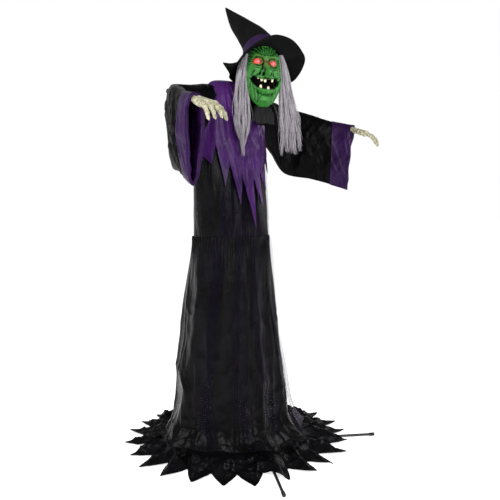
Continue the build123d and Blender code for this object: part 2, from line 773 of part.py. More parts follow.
# ---- write everything ---------------------------------------------------
def main():
    os.makedirs("parts", exist_ok=True)
    save("base_hub", make_base_hub())
    for name, angle in legs.items():
        save(f"leg_{name}", make_leg(angle))
    save("foot_caps", [make_foot_cap(angle).solids()[0] for angle in legs.values()])
    for index, name in enumerate(("lower", "middle", "upper")):
        save(f"pole_{name}", pole_section(index))
    save("snap_button_lower", make_snap_button(1))
    save("snap_button_upper", make_snap_button(2))
    save("torso_shell_front", make_torso_shell(True))
    save("torso_shell_rear", make_torso_shell(False))
    save("torso_screws", make_torso_screws())
    save("control_board", make_control_board())
    save("speaker", make_speaker())
    save("neck_tube", make_neck_tube())
    save("head_gearmotor", make_head_gearmotor())
    save("control_box", make_control_box())
    save("battery_door", make_battery_door())
    save("battery_cells", make_battery_cells())
    save("power_switch", make_power_switch())
    for side, name in ((1, "left"), (-1, "right")):
        save(f"arm_gearmotor_{name}", make_arm_gearmotor(side))
        save(f"upper_arm_tube_{name}", make_upper_arm_tube(side))
        save(f"forearm_tube_{name}", make_forearm_tube(side))
        save(f"sleeve_{name}", make_sleeve(side))
        save(f"cuff_{name}", make_cuff(side))
        save(f"hand_{name}", make_hand(side))
        save(f"eye_{name}", make_eye(side))
        save(f"hair_{name}", make_hair(side))
    save("lower_robe", make_lower_robe())
    save("upper_robe", make_upper_robe())
    save("tunic", make_tunic())
    save("neck_cowl", make_neck_cowl())
    save("hem_train", make_hem_train())
    save("mask_face", make_mask_face())
    save("skull_shell", make_skull_shell())
    save("jaw", make_jaw())
    save("jaw_bracket", make_jaw_bracket())
    save("jaw_pins", make_jaw_pins())
    save("teeth_upper", make_teeth(True))
    save("teeth_lower", make_teeth(False))
    save("eye_lamp_board", make_eye_lamp_board())
    save("jaw_motor", make_jaw_motor())
    save("head_plate", make_head_plate())
    save("hood", make_hood())
    save("hat_band", make_hat_band())
    save("hat_crown", make_hat_crown())
    save("hat_brim", make_hat_brim())


main()
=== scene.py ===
"""Looks of the animated witch figure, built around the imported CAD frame.

All sizes are in metres in the frame of the CAD part: Z up, the figure faces -Y, its own left is +X.
Pieces of the head are drawn facing -Y and then turned with the head.
"""

import json
import math

import bmesh
import bpy
import numpy as np
from mathutils import Matrix, Vector


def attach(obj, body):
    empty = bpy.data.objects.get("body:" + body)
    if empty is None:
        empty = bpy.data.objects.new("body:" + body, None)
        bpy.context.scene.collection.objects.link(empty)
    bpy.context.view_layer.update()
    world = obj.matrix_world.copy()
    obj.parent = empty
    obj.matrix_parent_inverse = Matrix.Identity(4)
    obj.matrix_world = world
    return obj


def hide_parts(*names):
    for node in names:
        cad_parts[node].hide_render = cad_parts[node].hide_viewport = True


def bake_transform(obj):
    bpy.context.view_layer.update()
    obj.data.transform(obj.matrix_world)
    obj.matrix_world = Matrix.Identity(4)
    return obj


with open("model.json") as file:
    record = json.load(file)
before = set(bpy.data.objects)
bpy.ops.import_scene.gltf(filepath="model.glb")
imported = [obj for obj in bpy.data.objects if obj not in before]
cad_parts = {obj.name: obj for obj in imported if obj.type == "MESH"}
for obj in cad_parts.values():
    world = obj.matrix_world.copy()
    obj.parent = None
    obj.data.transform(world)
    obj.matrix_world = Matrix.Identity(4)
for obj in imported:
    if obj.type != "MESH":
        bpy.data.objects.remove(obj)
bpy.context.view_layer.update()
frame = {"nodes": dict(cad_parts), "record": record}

# ---- shared sizes ----
HEAD_AXIS_Y = -0.005
HEAD_TURN = math.radians(-42.0)
WAIST_Z = 1.010
ELBOW = np.array((0.440, 0.171, 1.654))
WRIST = np.array((0.628, -0.155, 1.566))
LEG_REACH = 0.584
LEG_TOP = 0.017
HEM_CENTRE = (-0.020, 0.128)
HEM_POINTS = 24
HEM_NOTCH = 0.440
HEM_TIP = 0.572
FLOOR_GAP = 0.0035
CUFF = 0.092


# ---- numbers: noise and smooth curves ----
def joined(parts):
    """Coordinates side by side along a new last axis, each spread to the shape that they share."""
    return np.stack(np.broadcast_arrays(*parts), axis=-1)


def lattice(ix, iy, iz, seed):
    """A repeatable value from -1 to 1 for each whole-number point."""
    mask = 0x7FFFFFFF
    value = (ix * 374761393 + iy * 668265263 + iz * 1440670441 + seed * 974711) & mask
    value = ((value ^ (value >> 13)) * 1274126177) & mask
    value = value ^ (value >> 16)
    return (value & 0xFFFF) / 32767.5 - 1.0


def noise(points, seed=0):
    """Smooth noise from -1 to 1 at points of shape (..., 3)."""
    base = np.floor(points).astype(np.int64)
    f = points - base
    f = f * f * (3.0 - 2.0 * f)
    total = np.zeros(points.shape[:-1])
    for corner in np.ndindex(2, 2, 2):
        weight = np.ones(points.shape[:-1])
        for axis in range(3):
            weight = weight * (f[..., axis] if corner[axis] else 1.0 - f[..., axis])
        ijk = [base[..., axis] + corner[axis] for axis in range(3)]
        total += weight * lattice(*ijk, seed)
    return total


def fbm(points, octaves=3, seed=0):
    total, size = 0.0, 0.0
    for octave in range(octaves):
        gain = 0.5**octave
        total = total + gain * noise(points * 2.0**octave, seed + octave)
        size += gain
    return total / size


def ridged(points, octaves=2, seed=0):
    """Noise with sharp crests, from 0 in the valleys to 1 on the crests."""
    total, size = 0.0, 0.0
    for octave in range(octaves):
        gain = 0.5**octave
        total = total + gain * (1.0 - np.abs(noise(points * 2.0**octave, seed + octave))) ** 2
        size += gain
    return total / size


def smooth(low, high, value):
    t = np.clip((value - low) / (high - low), 0.0, 1.0)
    return t * t * (3.0 - 2.0 * t)


def hump(value, centre, width):
    return np.exp(-(((value - centre) / width) ** 2))


def spline(stations, at):
    """Catmull-Rom curve through rows of numbers; `at` runs from 0 to len(stations) - 1."""
    stations = np.asarray(stations, float)
    count = len(stations)
    at = np.clip(np.asarray(at, float), 0.0, count - 1 - 1e-9)
    i = np.floor(at).astype(int)
    t = (at - i)[..., None]
    p0 = stations[np.maximum(i - 1, 0)]
    p1 = stations[i]
    p2 = stations[i + 1]
    p3 = stations[np.minimum(i + 2, count - 1)]
    square = (2 * p0 - 5 * p1 + 4 * p2 - p3) * t**2
    cube = (3 * p1 - p0 - 3 * p2 + p3) * t**3
    return 0.5 * (2 * p1 + (p2 - p0) * t + square + cube)


def segment_distance(x, y, a, b):
    """Distance from points to the straight line between a and b."""
    ax, ay = a
    dx, dy = b[0] - ax, b[1] - ay
    t = np.clip(((x - ax) * dx + (y - ay) * dy) / (dx * dx + dy * dy), 0.0, 1.0)
    return np.hypot(x - ax - t * dx, y - ay - t * dy)


def turn_with_head(points):
    """Takes points from the head's own frame, facing -Y, to where the head looks."""
    c, s = math.cos(HEAD_TURN), math.sin(HEAD_TURN)
    out = np.array(points, float)
    x, y = out[..., 0].copy(), out[..., 1].copy()
    out[..., 0] = x * c - y * s
    out[..., 1] = x * s + y * c + HEAD_AXIS_Y
    return out


def mirrored(points, side):
    out = np.array(points, float)
    out[..., 0] *= side
    return out


# ---- meshes ----
def placed(name, data):
    """A new object in the scene."""
    piece = bpy.data.objects.new(name, data)
    bpy.context.scene.collection.objects.link(piece)
    return piece


def shade_smooth(mesh):
    mesh.polygons.foreach_set("use_smooth", [True] * len(mesh.polygons))


def full_turn(columns):
    """Angles evenly round a full circle."""
    return np.arange(columns) * 2 * math.pi / columns


def add_mesh(name, points, faces, material, attributes=None):
    mesh = bpy.data.meshes.new(name)
    corners = np.asarray(points, float).reshape(-1, 3).tolist()
    mesh.from_pydata(corners, [], [list(map(int, face)) for face in faces])
    shade_smooth(mesh)
    for key, values in (attributes or {}).items():
        layer = mesh.attributes.new(key, "FLOAT", "POINT")
        layer.data.foreach_set("value", np.asarray(values, np.float32).ravel())
    mesh.materials.append(material)
    mesh.update()
    return placed(name, mesh)


def grid_faces(rows, columns, closed=False, first=0):
    index = np.arange(rows * columns).reshape(rows, columns) + first
    if closed:
        beside = np.roll(index, -1, axis=1)
        quads = (index[:-1], beside[:-1], beside[1:], index[1:])
    else:
        quads = (index[:-1, :-1], index[:-1, 1:], index[1:, 1:], index[1:, :-1])
    return joined(quads).reshape(-1, 4)


def add_grid(name, grid, material, closed=False, attributes=None):
    rows, columns = grid.shape[:2]
    return add_mesh(name, grid, grid_faces(rows, columns, closed), material, attributes)


def add_tubes(name, paths, radii, sides, material, attributes=None):
    """Many thin tubes in one mesh. paths is (strands, steps, 3) and radii is (strands, steps)."""
    strands, steps = paths.shape[:2]
    along = np.gradient(paths, axis=1)
    along /= np.linalg.norm(along, axis=-1, keepdims=True) + 1e-12
    first = np.cross(along, np.array((0.31, 0.84, 0.44)))
    first /= np.linalg.norm(first, axis=-1, keepdims=True) + 1e-12
    second = np.cross(along, first)
    angle = full_turn(sides)
    ring = first[:, :, None, :] * np.cos(angle)[None, None, :, None]
    ring = ring + second[:, :, None, :] * np.sin(angle)[None, None, :, None]
    points = paths[:, :, None, :] + ring * radii[:, :, None, None]
    one = grid_faces(steps, sides, closed=True)
    faces = np.concatenate([one + k * steps * sides for k in range(strands)])
    return add_mesh(name, points, faces, material, attributes)


def add_bmesh(name, shape, material):
    mesh = bpy.data.meshes.new(name)
    shape.to_mesh(mesh)
    shape.free()
    shade_smooth(mesh)
    mesh.materials.append(material)
    return placed(name, mesh)


def bake_modifiers(piece):
    """Gives a piece the mesh that its modifiers make, and removes them."""
    bpy.context.view_layer.update()
    graph = bpy.context.evaluated_depsgraph_get()
    mesh = bpy.data.meshes.new_from_object(piece.evaluated_get(graph))
    old = piece.data
    piece.modifiers.clear()
    piece.data = mesh
    bpy.data.meshes.remove(old)


def thicken(piece, depth):
    """Gives a stiff cloth its real thickness."""
    solid = piece.modifiers.new("thickness", "SOLIDIFY")
    solid.thickness = depth
    solid.offset = 0.0
    bake_modifiers(piece)


def finished_shape(piece, voxel, rounds):
    """Melts overlapping forms into one skin, and smooths it."""
    remesh = piece.modifiers.new("skin", "REMESH")
    remesh.mode = "VOXEL"
    remesh.voxel_size = voxel
    relax = piece.modifiers.new("relax", "SMOOTH")
    relax.factor = 0.5
    relax.iterations = rounds
    material = piece.data.materials[0]
    bake_modifiers(piece)
    piece.data.name = piece.name
    piece.data.materials.clear()
    piece.data.materials.append(material)
    shade_smooth(piece.data)


def ball(shape, centre, radius, segments=16, rings=10):
    bmesh.ops.create_uvsphere(shape, u_segments=segments, v_segments=rings, radius=radius,
                              matrix=Matrix.Translation(Vector(centre)))


def rod(shape, start, end, start_radius, end_radius):
    """A round bar with domed ends, added to a bmesh."""
    start, end = Vector(start), Vector(end)
    direction = end - start
    turn = direction.to_track_quat("Z", "Y").to_matrix().to_4x4()
    place = Matrix.Translation((start + end) / 2) @ turn
    bmesh.ops.create_cone(shape, cap_ends=True, segments=16, radius1=start_radius, radius2=end_radius,
                          depth=direction.length, matrix=place)
    ball(shape, start, start_radius)
    ball(shape, end, end_radius)


# ---- materials ----
class Shader:
    """Builds one node material a line at a time."""

    def __init__(self, name):
        self.material = bpy.data.materials.new(name)
        self.material.use_nodes = True
        self.nodes = self.material.node_tree.nodes
        self.links = self.material.node_tree.links
        self.nodes.clear()
        self.output = self.nodes.new("ShaderNodeOutputMaterial")
        self.place = self.nodes.new("ShaderNodeTexCoord").outputs["Object"]

    def put(self, socket, value):
        if hasattr(value, "is_output"):
            self.links.new(value, socket)
        elif isinstance(value, (tuple, list)) and len(value) == 3 and socket.type == "RGBA":
            socket.default_value = (*value, 1.0)
        else:
            socket.default_value = value

    def node(self, kind, inputs=None, **settings):
        made = self.nodes.new(kind)
        for key, value in settings.items():
            setattr(made, key, value)
        for key, value in (inputs or {}).items():
            self.put(made.inputs[key], value)
        return made

    def stretched(self, scale):
        return self.node("ShaderNodeMapping", {"Vector": self.place, "Scale": scale}).outputs["Vector"]

    def noise(self, scale, detail=3.0, rough=0.5, vector=None):
        inputs = {"Vector": vector or self.place, "Scale": scale, "Detail": detail, "Roughness": rough}
        return self.node("ShaderNodeTexNoise", inputs).outputs["Fac"]

    def cells(self, scale):
        return self.node("ShaderNodeTexVoronoi", {"Vector": self.place, "Scale": scale}).outputs["Distance"]

    def attribute(self, name):
        return self.node("ShaderNodeAttribute", attribute_name=name).outputs["Fac"]

    def ramp(self, value, stops):
        made = self.node("ShaderNodeValToRGB", {"Fac": value})
        elements = made.color_ramp.elements
        while len(elements) < len(stops):
            elements.new(0.5)
        for element, (position, colour) in zip(elements, stops):
            element.position = position
            element.color = (*colour, 1.0)
        return made.outputs["Color"]

    def grey(self, value, low, high):
        """The value as a number from low to high."""
        inputs = {"Value": value, "To Min": low, "To Max": high}
        return self.node("ShaderNodeMapRange", inputs).outputs["Result"]

    def mix(self, amount, first, second, blend="MIX"):
        inputs = {"Fac": amount, "Color1": first, "Color2": second}
        return self.node("ShaderNodeMixRGB", inputs, blend_type=blend).outputs["Color"]

    def maths(self, operation, first, second):
        return self.node("ShaderNodeMath", {0: first, 1: second}, operation=operation).outputs["Value"]

    def bump(self, height, distance, strength=1.0, normal=None):
        inputs = {"Height": height, "Distance": distance, "Strength": strength}
        if normal is not None:
            inputs["Normal"] = normal
        return self.node("ShaderNodeBump", inputs).outputs["Normal"]

    def surface(self, **inputs):
        named = {key.replace("_", " "): value for key, value in inputs.items()}
        shader = self.node("ShaderNodeBsdfPrincipled", named)
        self.links.new(shader.outputs["BSDF"], self.output.inputs["Surface"])
        return self.material


def satin(name, shadow, body, tint, roughness, creases, sheen, specular):
    """Thin polyester satin: fine threads, soft creases and a broad gloss."""
    s = Shader(name)
    patches = s.noise(7.0, 4.0, 0.6)
    colour = s.ramp(patches, ((0.30, shadow), (0.72, body)))
    threads = s.noise(1.0, 2.0, 0.5, s.stretched((1500.0, 1500.0, 260.0)))
    crinkle = s.noise(34.0, 6.0, 0.62)
    fold = s.noise(1.0, 4.0, 0.55, s.stretched((16.0, 16.0, 5.0)))
    normal = s.bump(fold, 0.010 * creases, 0.8)
    normal = s.bump(crinkle, 0.0022 * creases, 0.7, normal)
    normal = s.bump(threads, 0.0003, 0.5, normal)
    gloss = s.grey(s.noise(60.0, 3.0), *roughness)
    return s.surface(Base_Color=colour, Roughness=gloss, Normal=normal, Sheen_Weight=sheen,
                     Sheen_Roughness=0.45, Sheen_Tint=(*tint, 1.0), Specular_IOR_Level=specular)


def gauze(name, thread, glitter, cover, sparkle):
    """Sheer net with specks of glitter."""
    s = Shader(name)
    net = s.noise(420.0, 2.0, 0.6)
    streak = s.noise(1.0, 3.0, 0.6, s.stretched((90.0, 90.0, 6.0)))
    specks = s.ramp(s.cells(1500.0), ((0.0, (1, 1, 1)), (0.16, (1, 1, 1)), (0.22, (0, 0, 0))))
    colour = s.mix(specks, thread, glitter)
    density = s.maths("MULTIPLY", s.grey(net, 0.55, 1.25), s.grey(streak, cover * 0.55, cover * 1.35))
    alpha = s.maths("MAXIMUM", density, s.maths("MULTIPLY", specks, sparkle))
    normal = s.bump(net, 0.0008, 0.6)
    return s.surface(Base_Color=colour, Roughness=s.grey(net, 0.45, 0.75), Alpha=alpha, Normal=normal,
                     Specular_IOR_Level=0.05)


def felt(name, shadow, body):
    s = Shader(name)
    fuzz = s.noise(700.0, 3.0, 0.7)
    dents = s.noise(12.0, 4.0, 0.55)
    colour = s.ramp(s.noise(24.0, 4.0), ((0.3, shadow), (0.75, body)))
    normal = s.bump(dents, 0.006, 0.7)
    normal = s.bump(fuzz, 0.0005, 0.8, normal)
    return s.surface(Base_Color=colour, Roughness=s.grey(fuzz, 0.82, 0.96), Normal=normal,
                     Sheen_Weight=0.008, Sheen_Roughness=0.6, Specular_IOR_Level=0.08)


def crinkled(name, shadow, body):
    s = Shader(name)
    pleat = s.noise(1.0, 5.0, 0.6, s.stretched((70.0, 70.0, 22.0)))
    # Painted shade: the colour follows the pleat height and is darkest in the pleat valleys.
    colour = s.ramp(pleat, ((0.25, shadow), (0.8, body)))
    normal = s.bump(pleat, 0.006, 1.0)
    normal = s.bump(s.noise(300.0, 3.0), 0.0005, 0.8, normal)
    return s.surface(Base_Color=colour, Roughness=s.grey(pleat, 0.5, 0.72), Normal=normal,
                     Specular_IOR_Level=0.22)


def latex(name, deep, body, light, brown):
    """Painted latex skin, with painted shade: the crease attribute darkens creases and hollows to the deep
    colour; brown stain, mottling and freckles.
    """
    s = Shader(name)
    mottled = s.ramp(s.noise(38.0, 5.0, 0.65), ((0.30, body), (0.70, light)))
    stained = s.mix(s.attribute("tint"), mottled, brown)
    freckles = s.ramp(s.noise(210.0, 3.0), ((0.36, (0.25, 0.25, 0.25)), (0.50, (1, 1, 1))))
    skin = s.mix(0.55, stained, freckles, "MULTIPLY")
    # Painted shade: the crease attribute mixes in the deep colour where the relief lies in creases and
    # hollows.
    colour = s.mix(s.attribute("crease"), skin, deep)
    pores = s.cells(420.0)
    wrinkle = s.noise(120.0, 5.0, 0.6)
    normal = s.bump(wrinkle, 0.0016, 0.8)
    normal = s.bump(pores, 0.0004, 0.5, normal)
    return s.surface(Base_Color=colour, Roughness=s.grey(s.noise(90.0), 0.36, 0.58), Normal=normal,
                     Subsurface_Weight=0.05, Subsurface_Scale=0.004, Specular_IOR_Level=0.5)


def bone(name, deep, body, light):
    s = Shader(name)
    paint = s.ramp(s.noise(55.0, 5.0, 0.6), ((0.25, deep), (0.46, body), (0.75, light)))
    cracks = s.ramp(s.noise(160.0, 6.0, 0.7), ((0.38, deep), (0.50, (1, 1, 1))))
    colour = s.mix(0.6, paint, cracks, "MULTIPLY")
    normal = s.bump(s.noise(150.0, 6.0, 0.65), 0.0016, 0.9)
    return s.surface(Base_Color=colour, Roughness=s.grey(s.noise(70.0), 0.5, 0.75), Normal=normal)


def hair_fibre(name, dark, body, light):
    s = Shader(name)
    # The shade attribute holds each strand's random tone and the painted shade on the inner strands of each
    # bunch.
    shade = s.ramp(s.attribute("shade"), ((0.0, dark), (0.5, body), (1.0, light)))
    streak = s.noise(1.0, 3.0, 0.6, s.stretched((420.0, 420.0, 14.0)))
    colour = s.mix(0.35, shade, s.ramp(streak, ((0.3, dark), (0.7, light))))
    return s.surface(Base_Color=colour, Roughness=s.grey(streak, 0.42, 0.68), Sheen_Weight=0.3,
                     Normal=s.bump(streak, 0.0004, 0.5))


def enamel(name, stain, body):
    s = Shader(name)
    colour = s.ramp(s.noise(120.0, 4.0), ((0.28, stain), (0.55, body)))
    return s.surface(Base_Color=colour, Roughness=s.grey(s.noise(200.0), 0.25, 0.4),
                     Normal=s.bump(s.noise(160.0, 3.0), 0.0004, 0.5), Coat_Weight=0.2)


def lamp_lens(name):
    """Red dome lit from behind, brightest in the middle."""
    s = Shader(name)
    glow = s.attribute("glow")
    colour = s.ramp(glow, ((0.0, (0.35, 0.0, 0.004)), (0.45, (0.85, 0.01, 0.02)), (1.0, (1.0, 0.16, 0.20))))
    facets = s.bump(s.cells(900.0), 0.0003, 0.6)
    return s.surface(Base_Color=(0.5, 0.01, 0.02), Roughness=0.18, Emission_Color=colour,
                     Emission_Strength=1.5, Normal=facets, Coat_Weight=0.5)


def plastic(name, dark, body, roughness, grain, metallic=0.0):
    s = Shader(name)
    colour = s.ramp(s.noise(30.0, 5.0), ((0.3, dark), (0.7, body)))
    fine = s.noise(grain, 3.0)
    return s.surface(Base_Color=colour, Roughness=s.grey(fine, *roughness), Metallic=metallic,
                     Normal=s.bump(fine, 0.0003, 0.6))


def floor_paper(name):
    s = Shader(name)
    grain = s.noise(40.0, 4.0)
    colour = s.ramp(grain, ((0.3, (0.955, 0.955, 0.955)), (0.7, (0.975, 0.975, 0.975))))
    return s.surface(Base_Color=colour, Roughness=s.grey(grain, 0.8, 0.9), Emission_Color=(1.0, 1.0, 1.0),
                     Emission_Strength=0.72, Specular_IOR_Level=0.1)


BLACK_SATIN = satin("black_satin", (0.0010, 0.0010, 0.0012), (0.0040, 0.0037, 0.0048), (0.55, 0.5, 0.65),
                    roughness=(0.17, 0.29), creases=1.3, sheen=0.003, specular=0.072)
SLEEVE_SATIN = satin("sleeve_satin", (0.0010, 0.0010, 0.0012), (0.0030, 0.0030, 0.0034), (0.5, 0.5, 0.55),
                     roughness=(0.20, 0.34), creases=1.0, sheen=0.002, specular=0.036)
PURPLE_SATIN = satin("purple_satin", (0.022, 0.005, 0.048), (0.062, 0.014, 0.118), (0.7, 0.5, 0.9),
                     roughness=(0.22, 0.36), creases=1.0, sheen=0.01, specular=0.13)
# Painted shade: a darker copy of the purple satin for the cuffs, which hang in shade.
SHADED_CUFF_SATIN = satin("shaded_cuff_satin", (0.010, 0.0024, 0.022), (0.032, 0.0075, 0.062), (0.7, 0.5, 0.9),
                   roughness=(0.22, 0.36), creases=1.0, sheen=0.006, specular=0.10)
BAND_SATIN = satin("band_satin", (0.008, 0.002, 0.018), (0.026, 0.006, 0.052), (0.7, 0.5, 0.9),
                   roughness=(0.45, 0.6), creases=0.5, sheen=0.02, specular=0.16)
PURPLE_GAUZE = gauze("purple_gauze", (0.0030, 0.0012, 0.0085), (0.045, 0.018, 0.120), 0.26, 0.34)
GREY_GAUZE = gauze("grey_gauze", (0.17, 0.15, 0.20), (0.42, 0.38, 0.47), 0.36, 0.20)
HAT_FELT = felt("hat_felt", (0.0015, 0.0015, 0.0015), (0.0045, 0.0045, 0.005))
# Painted shade: near-black felt for the sheet that stands for the shade inside the mouth.
MOUTH_SHADE = felt("mouth_shade", (0.0008, 0.0006, 0.0006), (0.0030, 0.0018, 0.0018))
CRINKLE = crinkled("black_crinkle", (0.0015, 0.0015, 0.0015), (0.009, 0.009, 0.011))
# The first colour is the painted shade in the creases and hollows of the face; the rest is the latex paint.
GREEN_LATEX = latex("green_latex", (0.002, 0.011, 0.003), (0.018, 0.150, 0.016), (0.042, 0.285, 0.036),
                    (0.17, 0.07, 0.015))
BONE_PAINT = bone("bone_paint", (0.085, 0.075, 0.035), (0.42, 0.40, 0.26), (0.66, 0.64, 0.48))
GREY_HAIR = hair_fibre("grey_hair", (0.13, 0.115, 0.135), (0.38, 0.34, 0.385), (0.70, 0.65, 0.71))
TOOTH = enamel("tooth", (0.50, 0.40, 0.16), (0.86, 0.80, 0.55))
EYE_LENS = lamp_lens("eye_lens")
# Dark and light colour, roughness, size of the grain and, for bare metal, metallic.
HARD_FINISHES = {
    "frame_steel": ((0.010, 0.010, 0.011), (0.022, 0.022, 0.024), (0.35, 0.5), 700.0, 0.3),
    "black_plastic": ((0.008, 0.008, 0.009), (0.018, 0.018, 0.020), (0.42, 0.6), 900.0),
    "foot_rubber": ((0.006, 0.006, 0.006), (0.014, 0.014, 0.014), (0.7, 0.85), 500.0),
    "screw_steel": ((0.30, 0.30, 0.30), (0.55, 0.55, 0.56), (0.25, 0.4), 900.0, 1.0),
    "snap_steel": ((0.45, 0.45, 0.46), (0.65, 0.65, 0.66), (0.2, 0.32), 900.0, 1.0),
    "board": ((0.010, 0.060, 0.022), (0.018, 0.11, 0.040), (0.3, 0.5), 300.0),
    "cell_wrap": ((0.05, 0.05, 0.055), (0.12, 0.12, 0.13), (0.25, 0.35), 400.0),
    "switch_plastic": ((0.02, 0.02, 0.02), (0.05, 0.05, 0.05), (0.35, 0.5), 600.0),
}
CAD_FINISH = {name: plastic(name, *numbers) for name, numbers in HARD_FINISHES.items()}
CAD_FINISH.update({
    "black_satin": BLACK_SATIN, "purple_satin": PURPLE_SATIN, "black_crinkle": CRINKLE,
    "hat_felt": HAT_FELT, "green_latex": GREEN_LATEX, "tooth": TOOTH, "eye_lens": EYE_LENS,
    "bone_paint": BONE_PAINT, "grey_hair": GREY_HAIR,
})


def finish_cad_nodes():
    """Every CAD node that stays in view takes the finish of its material slot."""
    for entry in frame["record"]["subparts"]:
        data = frame["nodes"][entry["node"]].data
        data.materials.clear()
        data.materials.append(CAD_FINISH[entry["material_slot"]])


# ---- the robe ----
# Height, centre y, half width and half depth of the cloth, from the waist seam up to the shoulders.
BODICE = [
    (1.006, 0.176, 0.210, 0.163), (1.150, 0.178, 0.222, 0.150), (1.350, 0.180, 0.238, 0.123),
    (1.500, 0.183, 0.212, 0.121), (1.620, 0.184, 0.203, 0.116), (1.690, 0.180, 0.188, 0.098),
    (1.726, 0.174, 0.166, 0.074), (1.741, 0.168, 0.130, 0.050), (1.745, 0.160, 0.085, 0.036),
    (1.748, 0.150, 0.060, 0.028),
]
# The skirt, from the waist seam down to where it meets the floor.
SKIRT = [
    (1.012, 0.176, 0.212, 0.165), (0.860, 0.179, 0.225, 0.184), (0.700, 0.183, 0.236, 0.203),
    (0.450, 0.188, 0.252, 0.230), (0.280, 0.190, 0.266, 0.248), (0.180, 0.189, 0.279, 0.262),
    (0.110, 0.185, 0.295, 0.278), (0.065, 0.178, 0.314, 0.296), (0.036, 0.168, 0.340, 0.318),
]


def around(theta):
    """Unit directions; theta 0 is the front of the figure and grows towards its left."""
    return joined((np.sin(theta), -np.cos(theta)))


def ring_noise_place(theta, height, count, stretch):
    """Where to read noise so that it runs in folds down a garment and closes round it."""
    reach = count / (2 * math.pi)
    return joined((reach * np.sin(theta), reach * np.cos(theta), height * stretch))


def robe_points(profile, theta, out):
    """Points of a garment from its sections (rows, 4), angles (rows, columns) and how far it stands out."""
    z, centre_y, half_x, half_y = (profile[:, k][:, None] for k in range(4))
    way = around(theta)
    radius = 1.0 / np.sqrt((way[..., 0] / half_x) ** 2 + (way[..., 1] / half_y) ** 2)
    radius = radius + out
    return joined((way[..., 0] * radius, centre_y + way[..., 1] * radius, z + 0 * radius))


def sections_at(stations, z):
    """Sections of a garment at given heights, from stations that run upwards."""
    table = np.array(stations)
    profile = joined([np.interp(z, table[:, 0], table[:, k]) for k in range(4)])
    profile[:, 0] = z
    return profile


def leg_clearance(x, y):
    """Height that cloth on the floor needs to pass over the four legs of the stand."""
    height = np.zeros_like(x)
    for sx, sy in ((1, 1), (1, -1), (-1, 1), (-1, -1)):
        reach = LEG_REACH / math.sqrt(2.0)
        away = segment_distance(x, y, (0.0, 0.0), (sx * reach, sy * reach))
        height = np.maximum(height, (LEG_TOP + 0.0045) * (1.0 - smooth(0.013, 0.050, away)))
    return height


def floor_sheet(x, y, inward):
    """Height of the train: flat at its points, crumpled towards the skirt, and over the legs."""
    place = joined((x * 7.5, y * 7.5, 0 * x + 0.7))
    warp = 0.35 * joined((noise(place * 0.7, 11), noise(place * 0.7, 12), 0 * x))
    crumple = ridged(place + warp, 3, 21) ** 1.5
    swell = 0.5 + 0.5 * noise(place * 0.35, 5)
    fine = ridged(place * 3.1 + 2.0 * warp, 2, 27) ** 1.3
    height = FLOOR_GAP + (0.003 + 0.062 * inward**1.2) * crumple * swell
    height = height + 0.030 * hump(inward, 0.62, 0.40) * fine
    clear = leg_clearance(x, y)
    return np.where(clear > 0.0005, np.maximum(height, clear + 0.4 * height), height)


